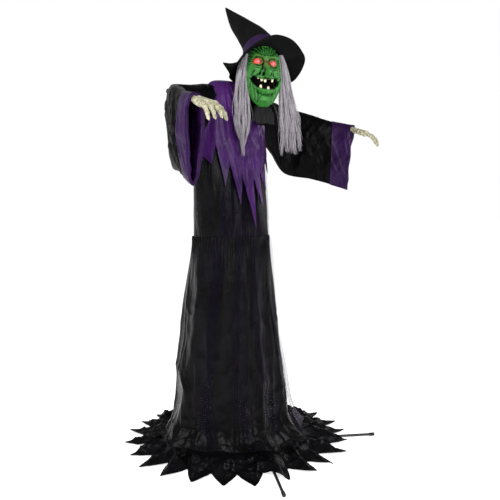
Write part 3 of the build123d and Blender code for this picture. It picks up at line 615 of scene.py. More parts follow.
def build_skirt():
    """One continuous cloth: gathered at the waist seam, flaring, and lying on the floor in points."""
    columns = HEM_POINTS * 18
    wall_rows, floor_rows = 170, 46
    theta = full_turn(columns)
    profile = spline(SKIRT, np.linspace(0, len(SKIRT) - 1, wall_rows))
    grid_theta = np.broadcast_to(theta, (wall_rows, columns))
    z = profile[:, 0][:, None] + 0 * grid_theta
    drop = (WAIST_Z - z) / WAIST_Z
    broad = noise(ring_noise_place(grid_theta, z, 17.0, 1.1), 31)
    crease = ridged(ring_noise_place(grid_theta + 0.10 * noise(ring_noise_place(grid_theta, z, 5, 2.0), 3),
                                     z, 15.0, 0.9), 2, 37)
    diagonal = ridged(ring_noise_place(grid_theta + 0.35 * z, z, 13.0, 4.0), 2, 41)
    out = (0.004 + 0.024 * smooth(0.0, 0.75, drop)) * broad
    out = out + (0.006 + 0.026 * smooth(0.0, 0.6, drop)) * (crease - 0.45)
    out = out + 0.018 * smooth(0.06, 0.5, drop) * (diagonal - 0.45)
    buckle = ridged(ring_noise_place(grid_theta - 0.5 * z, z, 26.0, 9.0), 2, 43)
    out = out + 0.012 * smooth(0.55, 0.95, drop) * (buckle - 0.45)
    spread = ridged(ring_noise_place(grid_theta + 0.2 * z, z, 11.0, 5.0), 2, 47)
    out = out + 0.046 * smooth(0.84, 1.0, drop) * (spread - 0.45)
    pleats = np.cos(84 * grid_theta + 2.2 * noise(ring_noise_place(grid_theta, z, 24.0, 3.0), 7))
    out = out + 0.0040 * pleats * np.exp(-((WAIST_Z - z) / 0.055).clip(0)) + 0.002 * hump(z, 1.0, 0.02)
    wall = robe_points(profile, grid_theta, out)

    ring = wall[-1]
    fraction = np.linspace(0.0, 1.0, floor_rows + 1)[1:]
    point = (theta * HEM_POINTS / (2 * math.pi) + 0.5) % 1.0
    which = np.floor(theta * HEM_POINTS / (2 * math.pi) + 0.5)
    varied = joined((which * 1.7, 0 * which, 0 * which))
    tip = HEM_TIP - 0.012 + 0.012 * noise(varied, 3)
    lean = 0.14 * noise(varied, 8)
    spike = 1.0 - np.abs((point - 0.5 - lean * 0.3) * 2.0).clip(0, 1)
    reach = HEM_NOTCH + (tip - HEM_NOTCH) * spike**1.02
    rim_theta = theta + math.radians(2.2) * lean * 6 * spike
    rim = np.array(HEM_CENTRE) + around(rim_theta) * reach[:, None]
    flat = ring[None, :, :2] + (rim[None] - ring[None, :, :2]) * (fraction**0.9)[:, None, None]
    x, y = flat[..., 0], flat[..., 1]
    inward = (1.0 - fraction[:, None]) ** 1.1 + 0 * x
    height = floor_sheet(x, y, inward)
    settle = 1.0 - np.clip(1.0 - fraction / 0.55, 0.0, 1.0)[:, None] ** 2.6
    height = ring[None, :, 2] * (1 - settle) + height * settle
    gather = ridged(ring_noise_place(grid_theta[:1] + 0.25 * fraction[:, None], 0.0, 34.0, 1.0), 2, 71)
    height = height + 0.026 * gather * (smooth(0.0, 0.40, fraction) * smooth(0.95, 0.55, fraction))[:, None]
    curl = 0.010 * smooth(0.82, 1.0, fraction)[:, None] * spike[None] * (0.5 + 0.5 * noise(varied, 15))[None]
    height = height + curl
    x = x + 0.006 * noise(joined((x * 14, y * 14, 0 * x)), 61) * inward
    floor = joined((x, y, height))
    skirt = add_grid("robe_skirt", np.concatenate((wall, floor)), BLACK_SATIN, closed=True)
    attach(skirt, "root")
    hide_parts("lower_robe", "hem_train")


# Purple net: number, centre and half width in degrees round the skirt, length, and how far the foot flares.
NET_STRIPS = [
    (1, -70.0, 6.0, 0.94, 0.0), (2, -40.0, 5.0, 0.965, 0.0), (3, -14.0, 8.0, 0.93, 0.0),
    (4, 20.0, 9.0, 0.96, 0.01),
]
STRIP_GAP = 0.014


def skirt_strip(name, centre, width, length, material, seed, flare):
    """A loose strip of net that hangs from the waist seam over the skirt."""
    rows, columns = 120, 22
    across = np.linspace(-1.0, 1.0, columns)
    down = np.linspace(0.0, 1.0, rows)
    z = WAIST_Z - 0.004 - length * down
    profile = sections_at(SKIRT[::-1], z)
    narrow = 1.0 - 0.55 * smooth(0.80, 1.0, down) ** 2
    sway = 0.10 * np.sin(down * 4.0 + seed) * down
    theta = math.radians(centre) + sway[:, None] + math.radians(width) * narrow[:, None] * across[None]
    zz = z[:, None] + 0 * theta
    ripple = noise(joined((theta * 9, zz * 3, 0 * zz + seed)), seed)
    lift = STRIP_GAP + 0.012 * down[:, None] + 0.010 * ripple * (0.3 + down[:, None])
    lift = lift + flare * smooth(0.35, 1.0, down)[:, None] ** 1.5
    grid = robe_points(profile, theta, lift)
    ragged = 0.020 * noise(joined((across * 5, 0 * across, 0 * across + seed)), seed + 4)
    grid[..., 2] += (ragged * smooth(0.9, 1.0, down)[:, None]).reshape(rows, columns)
    grid[..., 2] = np.maximum(grid[..., 2], 0.022)
    strip = add_grid(name, grid, material)
    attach(strip, "root")


def build_bodice():
    """The upper robe: waist seam to shoulders, closed over the top with a small neck opening."""
    rows, columns = 150, 300
    theta = full_turn(columns)
    profile = spline(BODICE, np.linspace(0, len(BODICE) - 1, rows))
    grid_theta = np.broadcast_to(theta, (rows, columns))
    z = profile[:, 0][:, None] + 0 * grid_theta
    size = np.minimum(profile[:, 3][:, None] / 0.12, 1.0)
    folds = noise(ring_noise_place(grid_theta, z, 15.0, 1.4), 71)
    fine = ridged(ring_noise_place(grid_theta, z, 26.0, 2.2), 2, 73)
    gather = np.cos(70 * grid_theta + 2.0 * folds) * hump(z, 1.006, 0.05)
    out = (0.006 * folds + 0.005 * (fine - 0.5)) * size + 0.0015 * gather
    grid = robe_points(profile, grid_theta, out)
    bodice = add_grid("robe_bodice", grid, BLACK_SATIN, closed=True)
    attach(bodice, "root")
    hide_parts("upper_robe")


def edge_height(edge, theta):
    """Height of a cut edge, given as angles in degrees and heights."""
    angles, heights = zip(*edge)
    return np.interp(np.degrees(theta), angles, heights)


# Lower edge of the purple front: angle in degrees from the front, and height.
TUNIC_EDGE = [
    (-88, 1.400), (-74, 1.350), (-70, 1.440), (-59, 1.250), (-53, 1.356), (-37, 1.165), (-32, 1.300),
    (-9, 1.062), (-4, 1.288), (17, 1.150), (22, 1.330), (38, 1.225), (43, 1.390), (60, 1.310), (66, 1.440),
    (82, 1.360), (88, 1.430),
]


def tunic_folds(theta, z):
    """Folds that fan out from both shoulders, with two swags under the neck."""
    u = theta * 0.20
    total = 0.0
    for side in (-1.0, 1.0):
        away = np.hypot(u - side * 0.245, z - 1.80)
        bearing = np.arctan2(u - side * 0.245, 1.80 - z)
        fan = np.cos(bearing * 30.0 + 1.3 * noise(joined((u * 12, z * 6, 0 * z + side)), 5))
        total = total + 0.0042 * fan * hump(away, 0.26, 0.20) * smooth(0.02, 0.12, away)
    swag = np.cos((z + 3.0 * u * u) * 2 * math.pi / 0.085)
    total = total + 0.006 * swag * hump(z, 1.470, 0.085) * hump(u, 0.02, 0.12)
    crease = ridged(joined((u * 16 + z * 5, z * 5 - u * 6, 0 * z)), 2, 17)
    fine = ridged(joined((u * 34 - z * 14, z * 12 + u * 10, 0 * z)), 2, 19)
    return total + 0.006 * (crease - 0.5) + 0.0015 * (fine - 0.5)


def build_tunic():
    """Purple front: over both shoulders, with a long jagged lower edge."""
    columns, rows = 340, 120
    theta = np.radians(np.linspace(-88.0, 88.0, columns))
    edge = edge_height(TUNIC_EDGE, theta)
    stations = np.array(BODICE)
    top_at = len(BODICE) - 2.3
    top_z = 1.743
    down = np.linspace(0.0, 1.0, rows)
    lower_rows = np.interp(edge, stations[:, 0], np.arange(len(stations)))
    at = top_at + (lower_rows[None] - top_at) * down[:, None] ** 0.9
    sections = spline(BODICE, at)
    z = np.minimum(sections[..., 0], top_z)
    way = around(np.broadcast_to(theta, z.shape))
    radius = 1.0 / np.sqrt((way[..., 0] / sections[..., 2]) ** 2 + (way[..., 1] / sections[..., 3]) ** 2)
    scale = np.minimum(sections[..., 3] / 0.11, 1.0)
    folds = tunic_folds(np.broadcast_to(theta, z.shape), z) * scale
    radius = radius + 0.014 + np.maximum(folds, -0.005)
    rise = 0.006 * (1.0 - scale)
    grid = joined((way[..., 0] * radius, sections[..., 1] + way[..., 1] * radius, z + rise))
    tunic = add_grid("tunic_front", grid, PURPLE_SATIN)
    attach(tunic, "root")
    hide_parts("tunic")


def build_bodice_net():
    """Net over the black cloth between the purple front and the waist seam."""
    columns, rows = 120, 60
    theta = np.radians(np.linspace(-66.0, 70.0, columns))
    z = np.linspace(1.40, WAIST_Z - 0.002, rows)
    profile = sections_at(BODICE[:5], z)
    grid_theta = np.broadcast_to(theta, (rows, columns))
    zz = z[:, None] + 0 * grid_theta
    wave = noise(joined((grid_theta * 14, zz * 2.0, 0 * zz)), 91)
    grid = robe_points(profile, grid_theta, 0.0065 + 0.003 * wave)
    net = add_grid("bodice_net", grid, PURPLE_GAUZE)
    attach(net, "root")


def build_cowl():
    """Crinkled black collar cloth hanging round the neck tube."""
    rows, columns = 60, 220
    down = np.linspace(0.0, 1.0, rows)
    theta = full_turn(columns)
    z = 1.628 - 0.082 * down
    radius = 0.040 + 0.014 * np.sin(down * math.pi * 0.62) + 0.006 * down
    place = ring_noise_place(np.broadcast_to(theta, (rows, columns)), z[:, None], 22.0, 9.0)
    ruffle = 0.008 * noise(place, 3) + 0.010 * (ridged(place * 1.3, 2, 9) - 0.5)
    ruffle = ruffle * (0.4 + 0.9 * down[:, None])
    reach = radius[:, None] + ruffle
    way = around(theta)
    drape = 0.010 * noise(joined((np.cos(theta) * 2, np.sin(theta) * 2, 0 * theta)), 4) * down[:, None]
    grid = joined((way[None, :, 0] * reach, way[None, :, 1] * reach * 1.02, z[:, None] + drape))
    cowl = add_grid("neck_cowl_cloth", grid, CRINKLE, closed=True)
    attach(cowl, "root")
    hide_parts("neck_cowl")


# ---- sleeves, cuffs and hands ----
FOREARM = np.array((WRIST[0] - ELBOW[0], WRIST[1] - ELBOW[1]))
FOREARM = FOREARM / np.linalg.norm(FOREARM)
MOUTH = np.array((0.625, -0.128))
# Centre x and y, direction of the sleeve, half width, top and bottom of each section of the left sleeve.
SLEEVE = [
    (0.178, 0.166, 1.00, 0.00, 0.046, 1.722, 1.540),
    (0.230, 0.166, 1.00, 0.00, 0.052, 1.716, 1.500),
    (0.325, 0.158, 1.00, -0.10, 0.056, 1.698, 1.432),
    (0.432, 0.150, 0.80, -0.60, 0.038, 1.684, 1.332),
    (0.516, 0.036, 0.50, -0.866, 0.046, 1.646, 1.302),
    (MOUTH[0] - FOREARM[0] * CUFF, MOUTH[1] - FOREARM[1] * CUFF, 0.50, -0.866, 0.043, 1.610, 1.274),
    (MOUTH[0], MOUTH[1], 0.50, -0.866, 0.043, 1.588, 1.244),
]
# Places along the sleeve, counted in those stations.
CUFF_SEAM = 5.0
SLEEVE_END = 5.02
SLEEVE_MOUTH = 6.0
LINING_END = 4.2
LINING_INSET = -0.0135
SLEEVE_COLUMNS = 120
CUFF_ROWS = 30
LINING_ROWS = 34


def sleeve_grid(first, last, rows, columns, out, seed, wrinkle):
    """Hanging sleeve surface between two stations, standing `out` from its plain shape."""
    at = np.linspace(first, last, rows)
    s = spline(SLEEVE, at)
    phi = full_turn(columns)
    v = np.cos(phi)[None]
    across = joined((-s[:, 3], s[:, 2]))
    across /= np.linalg.norm(across, axis=-1, keepdims=True)
    half = s[:, 4][:, None] * (0.84 + 0.24 * v) + out
    middle = (s[:, 5] + s[:, 6])[:, None] / 2
    tall = (s[:, 5] - s[:, 6])[:, None] / 2 + out
    sideways = half * (np.sign(np.sin(phi)) * np.abs(np.sin(phi)) ** 0.7)[None]
    upright = middle + tall * v
    x = s[:, 0][:, None] + across[:, 0][:, None] * sideways
    y = s[:, 1][:, None] + across[:, 1][:, None] * sideways
    lead = 0.036 * np.clip(at - 4.6, 0.0, 1.4)[:, None] / 1.4 * (v + 1.0) / 2
    x = x + FOREARM[0] * lead
    y = y + FOREARM[1] * lead
    grid = joined((x, y, upright))
    along = at[:, None] * 0.10
    face = np.sign(np.sin(phi))[None]
    slant = joined((along * 22 + upright * 9, upright * 4 - along * 6, face * 3 + 0 * x))
    counter = joined((along * 16 - upright * 10, upright * 5, 7 + face * 3 + 0 * x))
    relief = wrinkle * (ridged(slant, 2, seed) - 0.5) + 0.6 * wrinkle * (ridged(counter, 2, seed + 5) - 0.5)
    relief = relief * (0.25 + 0.75 * np.abs(np.sin(phi))[None])
    grid[..., 0] += across[:, 0][:, None] * relief * face
    grid[..., 1] += across[:, 1][:, None] * relief * face
    grid[..., 2] += 0.35 * relief
    return grid


def build_sleeve(name, side):
    grid = sleeve_grid(0.0, SLEEVE_END, 130, SLEEVE_COLUMNS, 0.0, 3 if side > 0 else 23, 0.013)
    sleeve = add_grid(f"sleeve_{name}_cloth", mirrored(grid, side), SLEEVE_SATIN, closed=True)
    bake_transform(sleeve)
    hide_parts(f"sleeve_{name}")


def build_cuff(name, side):
    """Purple band at the sleeve's mouth, turned in as a lining, in a darker copy of the purple satin that
    paints the shade on the cuffs.
    """
    seed = 31 if side > 0 else 53
    outer = sleeve_grid(CUFF_SEAM, SLEEVE_MOUTH, CUFF_ROWS, SLEEVE_COLUMNS, 0.0025, seed, 0.010)
    inner = sleeve_grid(SLEEVE_MOUTH, LINING_END, LINING_ROWS, SLEEVE_COLUMNS, LINING_INSET, seed, 0.010)
    turn = full_turn(SLEEVE_COLUMNS)
    wave = noise(joined((np.cos(turn) * 3, np.sin(turn) * 3, np.full(SLEEVE_COLUMNS, seed))), seed) * 0.007
    for rows, share in ((outer, np.linspace(0, 1, CUFF_ROWS)), (inner, np.linspace(1, 0, LINING_ROWS))):
        rows[..., 0] += FOREARM[0] * wave[None] * share[:, None]
        rows[..., 1] += FOREARM[1] * wave[None] * share[:, None]
    grid = mirrored(np.concatenate((outer, inner)), side)
    cuff = add_grid(f"cuff_{name}_cloth", grid, SHADED_CUFF_SATIN, closed=True)
    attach(cuff, f"{name}_arm")
    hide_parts(f"cuff_{name}")


def finger_path(start, headings, lengths):
    points = [np.array(start)]
    for heading, length in zip(headings, lengths):
        unit = heading / np.linalg.norm(heading)
        points.append(points[-1] + unit * length)
    return points


def finger_bones(shape, path, start_radius, end_radius, knuckle_radius):
    """Bones along a finger, each thinner than the last, with a swollen knuckle where each one starts."""
    for j, (a, b) in enumerate(zip(path[:-1], path[1:])):
        rod(shape, a, b, start_radius - 0.0008 * j, end_radius - 0.0008 * j)
        ball(shape, a, knuckle_radius - 0.0010 * j, 14, 8)


# How far each bone of each finger points down.
FINGER_DROOP = ((0.26, 0.80, 1.60), (0.12, 0.55, 1.25), (0.20, 0.75, 1.50), (0.34, 0.95, 1.70))


def build_hand(name, side):
    """A bony hand, palm down, with swollen knuckles, tendons and long nails."""
    along = np.array((FOREARM[0] * 0.5, FOREARM[1], -0.30))
    along /= np.linalg.norm(along)
    across = np.array((-along[1], along[0], 0.0))
    across /= np.linalg.norm(across)
    up = np.cross(along, across)
    up *= math.copysign(1.0, up[2])
    down = np.array((0.0, 0.0, 1.0))
    shape = bmesh.new()
    rod(shape, WRIST - along * 0.030, WRIST + along * 0.012, 0.0155, 0.0165)
    for k in range(4):
        offset = 0.0196 * (k - 1.5)
        spread = across * (0.10 * (k - 1.5))
        knuckle = WRIST + along * 0.079 + across * offset + up * 0.001
        root = WRIST + along * 0.006 + across * offset * 0.55
        rod(shape, root, knuckle, 0.0135, 0.0125)
        rod(shape, root + up * 0.008, knuckle + up * 0.006, 0.0058, 0.0056)
        ball(shape, knuckle + up * 0.001, 0.0132)
        headings = [along + spread - down * droop for droop in FINGER_DROOP[k]]
        path = finger_path(knuckle, headings, (0.038, 0.027, 0.020))
        finger_bones(shape, path, 0.0092, 0.0084, 0.0113)
        nail = path[-1] + (headings[2] / np.linalg.norm(headings[2])) * 0.009 + up * 0.001
        rod(shape, path[-1] + up * 0.002, nail, 0.0058, 0.0030)
    for reach, width in ((0.020, 0.5), (0.045, 0.75), (0.066, 0.9)):
        middle = WRIST + along * reach - up * 0.003
        rod(shape, middle - across * 0.032 * width, middle + across * 0.032 * width, 0.0145, 0.0145)
    thumb = WRIST + along * 0.024 - across * 0.026
    headings = [along - across * outwards - down * droop
                for outwards, droop in ((0.9, 0.1), (0.35, 0.2), (0.1, 0.4))]
    path = finger_path(thumb, headings, (0.030, 0.026, 0.019))
    rod(shape, WRIST + along * 0.004 - across * 0.010, thumb, 0.0140, 0.0120)
    finger_bones(shape, path, 0.0100, 0.0090, 0.0116)
    bmesh.ops.scale(shape, vec=(side, 1.0, 1.0), verts=shape.verts)
    if side < 0:
        bmesh.ops.reverse_faces(shape, faces=shape.faces)
    hand = add_bmesh(f"hand_{name}_skin", shape, BONE_PAINT)
    finished_shape(hand, 0.0016, 3)
    roughen(hand, 0.0009, 130.0)
    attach(hand, f"{name}_arm")
    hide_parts(f"hand_{name}")


def roughen(piece, depth, scale):
    """Small dents and bumps on a finished skin."""
    mesh = piece.data
    count = len(mesh.vertices)
    points = np.zeros(count * 3)
    normals = np.zeros(count * 3)
    mesh.vertices.foreach_get("co", points)
    mesh.vertex_normals.foreach_get("vector", normals)
    points, normals = points.reshape(-1, 3), normals.reshape(-1, 3)
    points = points + normals * (depth * fbm(points * scale, 3, 2))[:, None]
    mesh.vertices.foreach_set("co", points.ravel())
    mesh.update()


# ---- the head ----
FACE_CENTRE = (-0.006, 1.762)
FACE_HALF = (0.087, 0.097, 0.148)
FACE_TILT = 0.12
EYE_X = 0.0355
EYE_Z = 1.812
EYE_RADIUS = 0.0185
MASK_TOP = 1.893
CHIN_Z = 1.6165
MASK_TURN = 112.0
JAW_TURN = 80.0
HAIR_TOP = 1.858
TOOTH_INSET = 0.0095


def face_radius(theta, z):
    """Distance of the plain face from the head's upright line, before any features."""
    t = np.clip(np.abs((z - FACE_CENTRE[1]) / FACE_HALF[2]), 0.0, 0.9995)
    fullness = (1.0 - t**2.5) ** (1 / 2.1)
    below = smooth(1.74, 1.62, z)
    width = FACE_HALF[0] * (1.0 - 0.15 * below)
    return fullness / np.sqrt((np.sin(theta) / width) ** 2 + (np.cos(theta) / FACE_HALF[1]) ** 2)


# Creases on one side of the face: points of the line, depth and width.
CHEEK_CREASES = [
    (((0.020, 1.764), (0.036, 1.752), (0.056, 1.738), (0.066, 1.712)), 0.0065, 0.0036),
    (((0.050, 1.770), (0.066, 1.752), (0.073, 1.715)), 0.0045, 0.0030),
    (((0.0150, 1.804), (0.0185, 1.780), (0.0270, 1.766), (0.0285, 1.752)), 0.0060, 0.0030),
    (((0.012, 1.800), (0.028, 1.789), (0.046, 1.792)), 0.0040, 0.0024),
    (((0.016, 1.790), (0.032, 1.779), (0.050, 1.786)), 0.0028, 0.0022),
]
JAW_CREASES = [
    (((0.040, 1.700), (0.034, 1.672), (0.030, 1.640)), 0.0045, 0.0030),
    (((0.056, 1.716), (0.050, 1.684), (0.042, 1.650)), 0.0040, 0.0028),
    (((0.010, 1.668), (0.022, 1.660), (0.027, 1.645)), 0.0030, 0.0022),
    (((0.064, 1.735), (0.066, 1.700)), 0.0030, 0.0026),
]


def crease_line(x, z, path, depth, width):
    """A groove along a line, with a low ridge on both sides."""
    away = np.full_like(x, 9.0)
    for a, b in zip(path[:-1], path[1:]):
        away = np.minimum(away, segment_distance(x, z, a, b))
    return -depth * hump(away, 0.0, width) + 0.45 * depth * hump(away, width * 2.4, width * 1.3)


def upper_face(x, z):
    """Relief of the fixed part of the mask."""
    zz = z + FACE_TILT * x
    a = np.abs(x)
    brow_z = 1.836 + 0.30 * (a - 0.026)
    out = 0.015 * hump(zz, brow_z, 0.0085) * hump(a, 0.034, 0.026)
    out = out + 0.006 * hump(a, 0.0, 0.012) * hump(zz, 1.826, 0.012)
    out = out - 0.018 * hump(a, EYE_X, 0.0180) * hump(zz, 1.811, 0.0145)
    eye = np.hypot(a - EYE_X, (zz - EYE_Z) * 1.25)
    out = out + 0.0045 * hump(eye, 0.0165, 0.0032) - 0.006 * hump(eye, 0.0235, 0.0030)
    out = out + 0.010 * hump(a, 0.047, 0.018) * hump(zz, 1.776, 0.015)
    out = out - 0.009 * hump(a, 0.062, 0.012) * hump(zz, 1.735, 0.022)
    ridge = np.interp(zz, [1.738, 1.744, 1.752, 1.764, 1.785, 1.806, 1.822],
                      [0, 0.026, 0.046, 0.047, 0.033, 0.018, 0])
    slim = np.interp(zz, [1.744, 1.758, 1.780, 1.815], [0.0110, 0.0125, 0.0105, 0.0090])
    bend = 0.004 * np.sin((zz - 1.74) * 60.0)
    out = out + ridge * np.exp(-(np.abs((x - bend) / slim) ** 2.2))
    out = out + 0.019 * hump(a, 0.0205, 0.0065) * hump(zz, 1.7610, 0.0085)
    out = out - 0.026 * hump(a, 0.0135, 0.0048) * hump(zz, 1.7550, 0.0055)
    out = out + 0.008 * hump(a, 0.0, 0.0100) * hump(zz, 1.7490, 0.0080)
    out = out - 0.010 * hump(a, 0.0, 0.0150) * hump(zz, 1.7385, 0.0028)
    for side in (-1.0, 1.0):
        s = x * side
        for path, depth, width in CHEEK_CREASES:
            out = out + crease_line(s, zz, path, depth, width)
        for end_z in (1.842, 1.826, 1.811, 1.797):
            path = ((0.050, EYE_Z + (end_z - EYE_Z) * 0.25), (0.074, end_z))
            out = out + crease_line(s, zz, path, 0.0028, 0.0020)
        for end_x, end_z in ((0.004, 1.882), (0.018, 1.886), (0.034, 1.886), (0.050, 1.878)):
            path = ((0.0035 + 0.35 * end_x, 1.840), (1.2 * end_x, end_z))
            out = out + crease_line(s, zz, path, 0.0075, 0.0034)
    wander = 0.004 * noise(joined((x * 60, zz * 30, 0 * x)), 2)
    waves = np.cos((zz - 1.86 - 0.3 * a + wander) * 2 * math.pi / 0.013)
    out = out + 0.0010 * waves * smooth(1.850, 1.866, zz)
    lumps = fbm(joined((x * 70, zz * 70, 0 * x)), 3, 8)
    return out + 0.0024 * lumps


def lower_face(x, z, lip_z):
    """Relief of the jaw."""
    a = np.abs(x)
    out = 0.0120 * hump(z, lip_z - 0.007, 0.0068) * smooth(0.070, 0.052, a)
    out = out - 0.0110 * hump(z, lip_z - 0.0225, 0.0055) * smooth(0.056, 0.034, a)
    out = out + 0.021 * hump(x, 0.002, 0.024) * hump(z, 1.640, 0.017)
    out = out - 0.0035 * hump(x, 0.002, 0.0032) * hump(z, 1.634, 0.012)
    for side in (-1.0, 1.0):
        s = x * side
        for path, depth, width in JAW_CREASES:
            out = out + crease_line(s, z, path, depth, width)
    lumps = fbm(joined((x * 75, z * 75, 0 * x + 3)), 3, 18)
    return out + 0.0022 * lumps


def blurred(field, rounds):
    for _ in range(rounds):
        padded = np.pad(field, 1, mode="edge")
        field = (padded[:-2, 1:-1] + padded[2:, 1:-1] + padded[1:-1, :-2] + padded[1:-1, 2:]) / 4
    return field


def skin_sheet(name, theta, z, relief, inset, edge_row, tint):
    """A latex skin from angles, heights and relief, with one edge rolled inwards and painted shade in its
    creases, hollows and rolled edge.
    """
    radius = face_radius(theta, z) + relief
    # Painted shade: darker where the relief lies below its blurred surroundings, in small creases and in
    # broad hollows.
    shade = np.clip((blurred(relief, 16) - relief) / 0.0013 - 0.14, 0.0, 1.0)
    hollow_shade = np.clip((blurred(relief, 90) - relief) / 0.0060 - 0.15, 0.0, 0.75)
    shade = np.maximum(shade, hollow_shade)
    x, y = np.sin(theta) * radius, FACE_CENTRE[0] - np.cos(theta) * radius
    grid = joined((x, y, z))
    rolls = []
    edge = grid[edge_row]
    inwards = joined((-np.sin(theta[edge_row]), np.cos(theta[edge_row]), 0 * theta[edge_row]))
    lift = -1.0 if edge_row == 0 else 1.0
    for depth, rise in ((0.0016, 0.0010), (0.0045, 0.0016), (inset, 0.0010)):
        step = edge + inwards * depth
        step[:, 2] += lift * rise
        rolls.append(step)
    rolls = np.array(rolls)
    # Painted shade on the rolled edge, which turns in under the skin.
    dark = np.broadcast_to(np.array((0.55, 1.0, 1.0))[:, None], rolls.shape[:2])
    if edge_row == 0:
        grid = np.concatenate((rolls[::-1], grid))
        shade = np.concatenate((dark[::-1], shade))
        tint = np.concatenate((np.zeros(rolls.shape[:2]), tint))
    else:
        grid = np.concatenate((grid, rolls))
        shade = np.concatenate((shade, dark))
        tint = np.concatenate((tint, np.zeros(rolls.shape[:2])))
    return add_grid(name, turn_with_head(grid), GREEN_LATEX, attributes={"crease": shade, "tint": tint})


# Lower edge of the mask and upper edge of the jaw: angle from the front in degrees, and height.
MASK_EDGE = [(-112, 1.660), (-80, 1.700), (-58, 1.735), (-45, 1.757), (-36, 1.750), (-20, 1.740), (-6, 1.734),
             (8, 1.735), (22, 1.738), (34, 1.742), (43, 1.744), (58, 1.722), (80, 1.695), (112, 1.655)]
JAW_EDGE = [(-80, 1.752), (-66, 1.757), (-52, 1.745), (-42, 1.722), (-28, 1.702), (-12, 1.692), (6, 1.688),
            (22, 1.692), (36, 1.708), (48, 1.730), (60, 1.744), (72, 1.744), (80, 1.738)]


def smoothed_line(values, rounds=10):
    for _ in range(rounds):
        padded = np.pad(values, 1, mode="edge")
        values = (padded[:-2] + 2 * padded[1:-1] + padded[2:]) / 4
    return values


def build_mask():
    columns, rows = 330, 210
    theta = np.radians(np.linspace(-MASK_TURN, MASK_TURN, columns))
    low = smoothed_line(edge_height(MASK_EDGE, theta))
    up = np.linspace(0.0, 1.0, rows)[:, None]
    z = low[None] + (MASK_TOP - low[None]) * up
    grid_theta = np.broadcast_to(theta, z.shape)
    x = np.sin(grid_theta) * face_radius(grid_theta, z)
    relief = upper_face(x, z)
    lip = 0.0060 * hump(z - low[None], 0.006, 0.0060) * smooth(50.0, 36.0, np.abs(np.degrees(grid_theta)))
    relief = relief + lip
    zz = z + FACE_TILT * x
    tint = 0.85 * hump(x, 0.0, 0.014) * hump(zz, 1.806, 0.017)
    tint = tint + 0.4 * hump(np.abs(x), 0.031, 0.02) * hump(zz, EYE_Z, 0.02)
    mask = skin_sheet("mask_skin", grid_theta, z, relief, 0.012, 0, tint)
    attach(mask, "head")
    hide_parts("mask_face")


def build_jaw():
    columns, rows = 250, 110
    theta = np.radians(np.linspace(-JAW_TURN, JAW_TURN, columns))
    top = smoothed_line(edge_height(JAW_EDGE, theta))
    low = CHIN_Z + 0.045 * smooth(25.0, 80.0, np.abs(np.degrees(theta)))
    up = np.linspace(0.0, 1.0, rows)[:, None]
    z = low[None] + (top - low)[None] * up
    grid_theta = np.broadcast_to(theta, z.shape)
    x = np.sin(grid_theta) * face_radius(grid_theta, z)
    relief = lower_face(x, z, top[None]) + 0.0035
    relief = relief + 0.0020 * smooth(0.7, 1.0, up) * smooth(44.0, 58.0, np.abs(np.degrees(grid_theta)))
    jaw = skin_sheet("jaw_skin", grid_theta, z, relief, 0.012, -1, np.zeros_like(z))
    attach(jaw, "jaw")
    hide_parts("jaw")


def tooth(shape, x, root_z, tip_z, width):
    """One worn peg on the line of the mouth."""
    angle = math.asin(x / 0.082)
    radius = float(face_radius(np.array(angle), np.array(root_z))) - TOOTH_INSET
    rows = ((0.0, 0.80), (0.30, 1.0), (0.65, 0.98), (0.88, 0.78), (0.98, 0.42), (1.0, 0.10))
    rings = []
    for share, fat in rows:
        z = root_z + (tip_z - root_z) * share
        ring = []
        for k in range(14):
            turn = 2 * math.pi * k / 14
            u = math.copysign(abs(math.cos(turn)) ** 0.8, math.cos(turn)) * width * fat
            v = math.copysign(abs(math.sin(turn)) ** 0.8, math.sin(turn)) * 0.0038 * fat
            px = math.sin(angle) * (radius + v) + math.cos(angle) * u
            py = FACE_CENTRE[0] - math.cos(angle) * (radius + v) + math.sin(angle) * u
            wx, wy, wz = turn_with_head((px, py, z))
            ring.append(shape.verts.new((wx, wy, wz)))
        rings.append(ring)
    for a, b in zip(rings[:-1], rings[1:]):
        for k in range(14):
            shape.faces.new((a[k], a[(k + 1) % 14], b[(k + 1) % 14], b[k]))
    shape.faces.new(rings[-1])
    shape.faces.new(rings[0][::-1])


# Sideways place, height of the root, height of the tip and half width of each tooth.
UPPER_TEETH = [
    (-0.033, 1.754, 1.737, 0.0052), (-0.019, 1.748, 1.726, 0.0064), (-0.004, 1.744, 1.721, 0.0064),
    (0.029, 1.747, 1.723, 0.0058),
]
LOWER_TEETH = [(-0.023, 1.690, 1.713, 0.0060), (0.014, 1.684, 1.706, 0.0064)]


def build_teeth(name, body, row, node):
    shape = bmesh.new()
    for x, root_z, tip_z, width in row:
        tooth(shape, x, root_z, tip_z, width)
    bmesh.ops.recalc_face_normals(shape, faces=shape.faces)
    teeth = add_bmesh(name, shape, TOOTH)
    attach(teeth, body)
    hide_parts(node)


def build_mouth_shade_sheet():
    """Dark sheet behind the teeth: painted shade inside the mouth."""
    columns, rows = 60, 40
    u = np.linspace(-1, 1, columns)[None]
    v = np.linspace(-1, 1, rows)[:, None]
    theta = np.radians(62.0) * u + 0 * v
    z = 1.722 + 0.052 * v + 0 * u
    depth = 0.016 + 0.026 * (1 - u**2) * (1 - v**2)
    radius = face_radius(theta, z) - depth
    grid = joined((np.sin(theta) * radius, FACE_CENTRE[0] - np.cos(theta) * radius, z))
    lining = add_grid("mouth_shade_sheet", turn_with_head(grid), MOUTH_SHADE)
    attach(lining, "head")


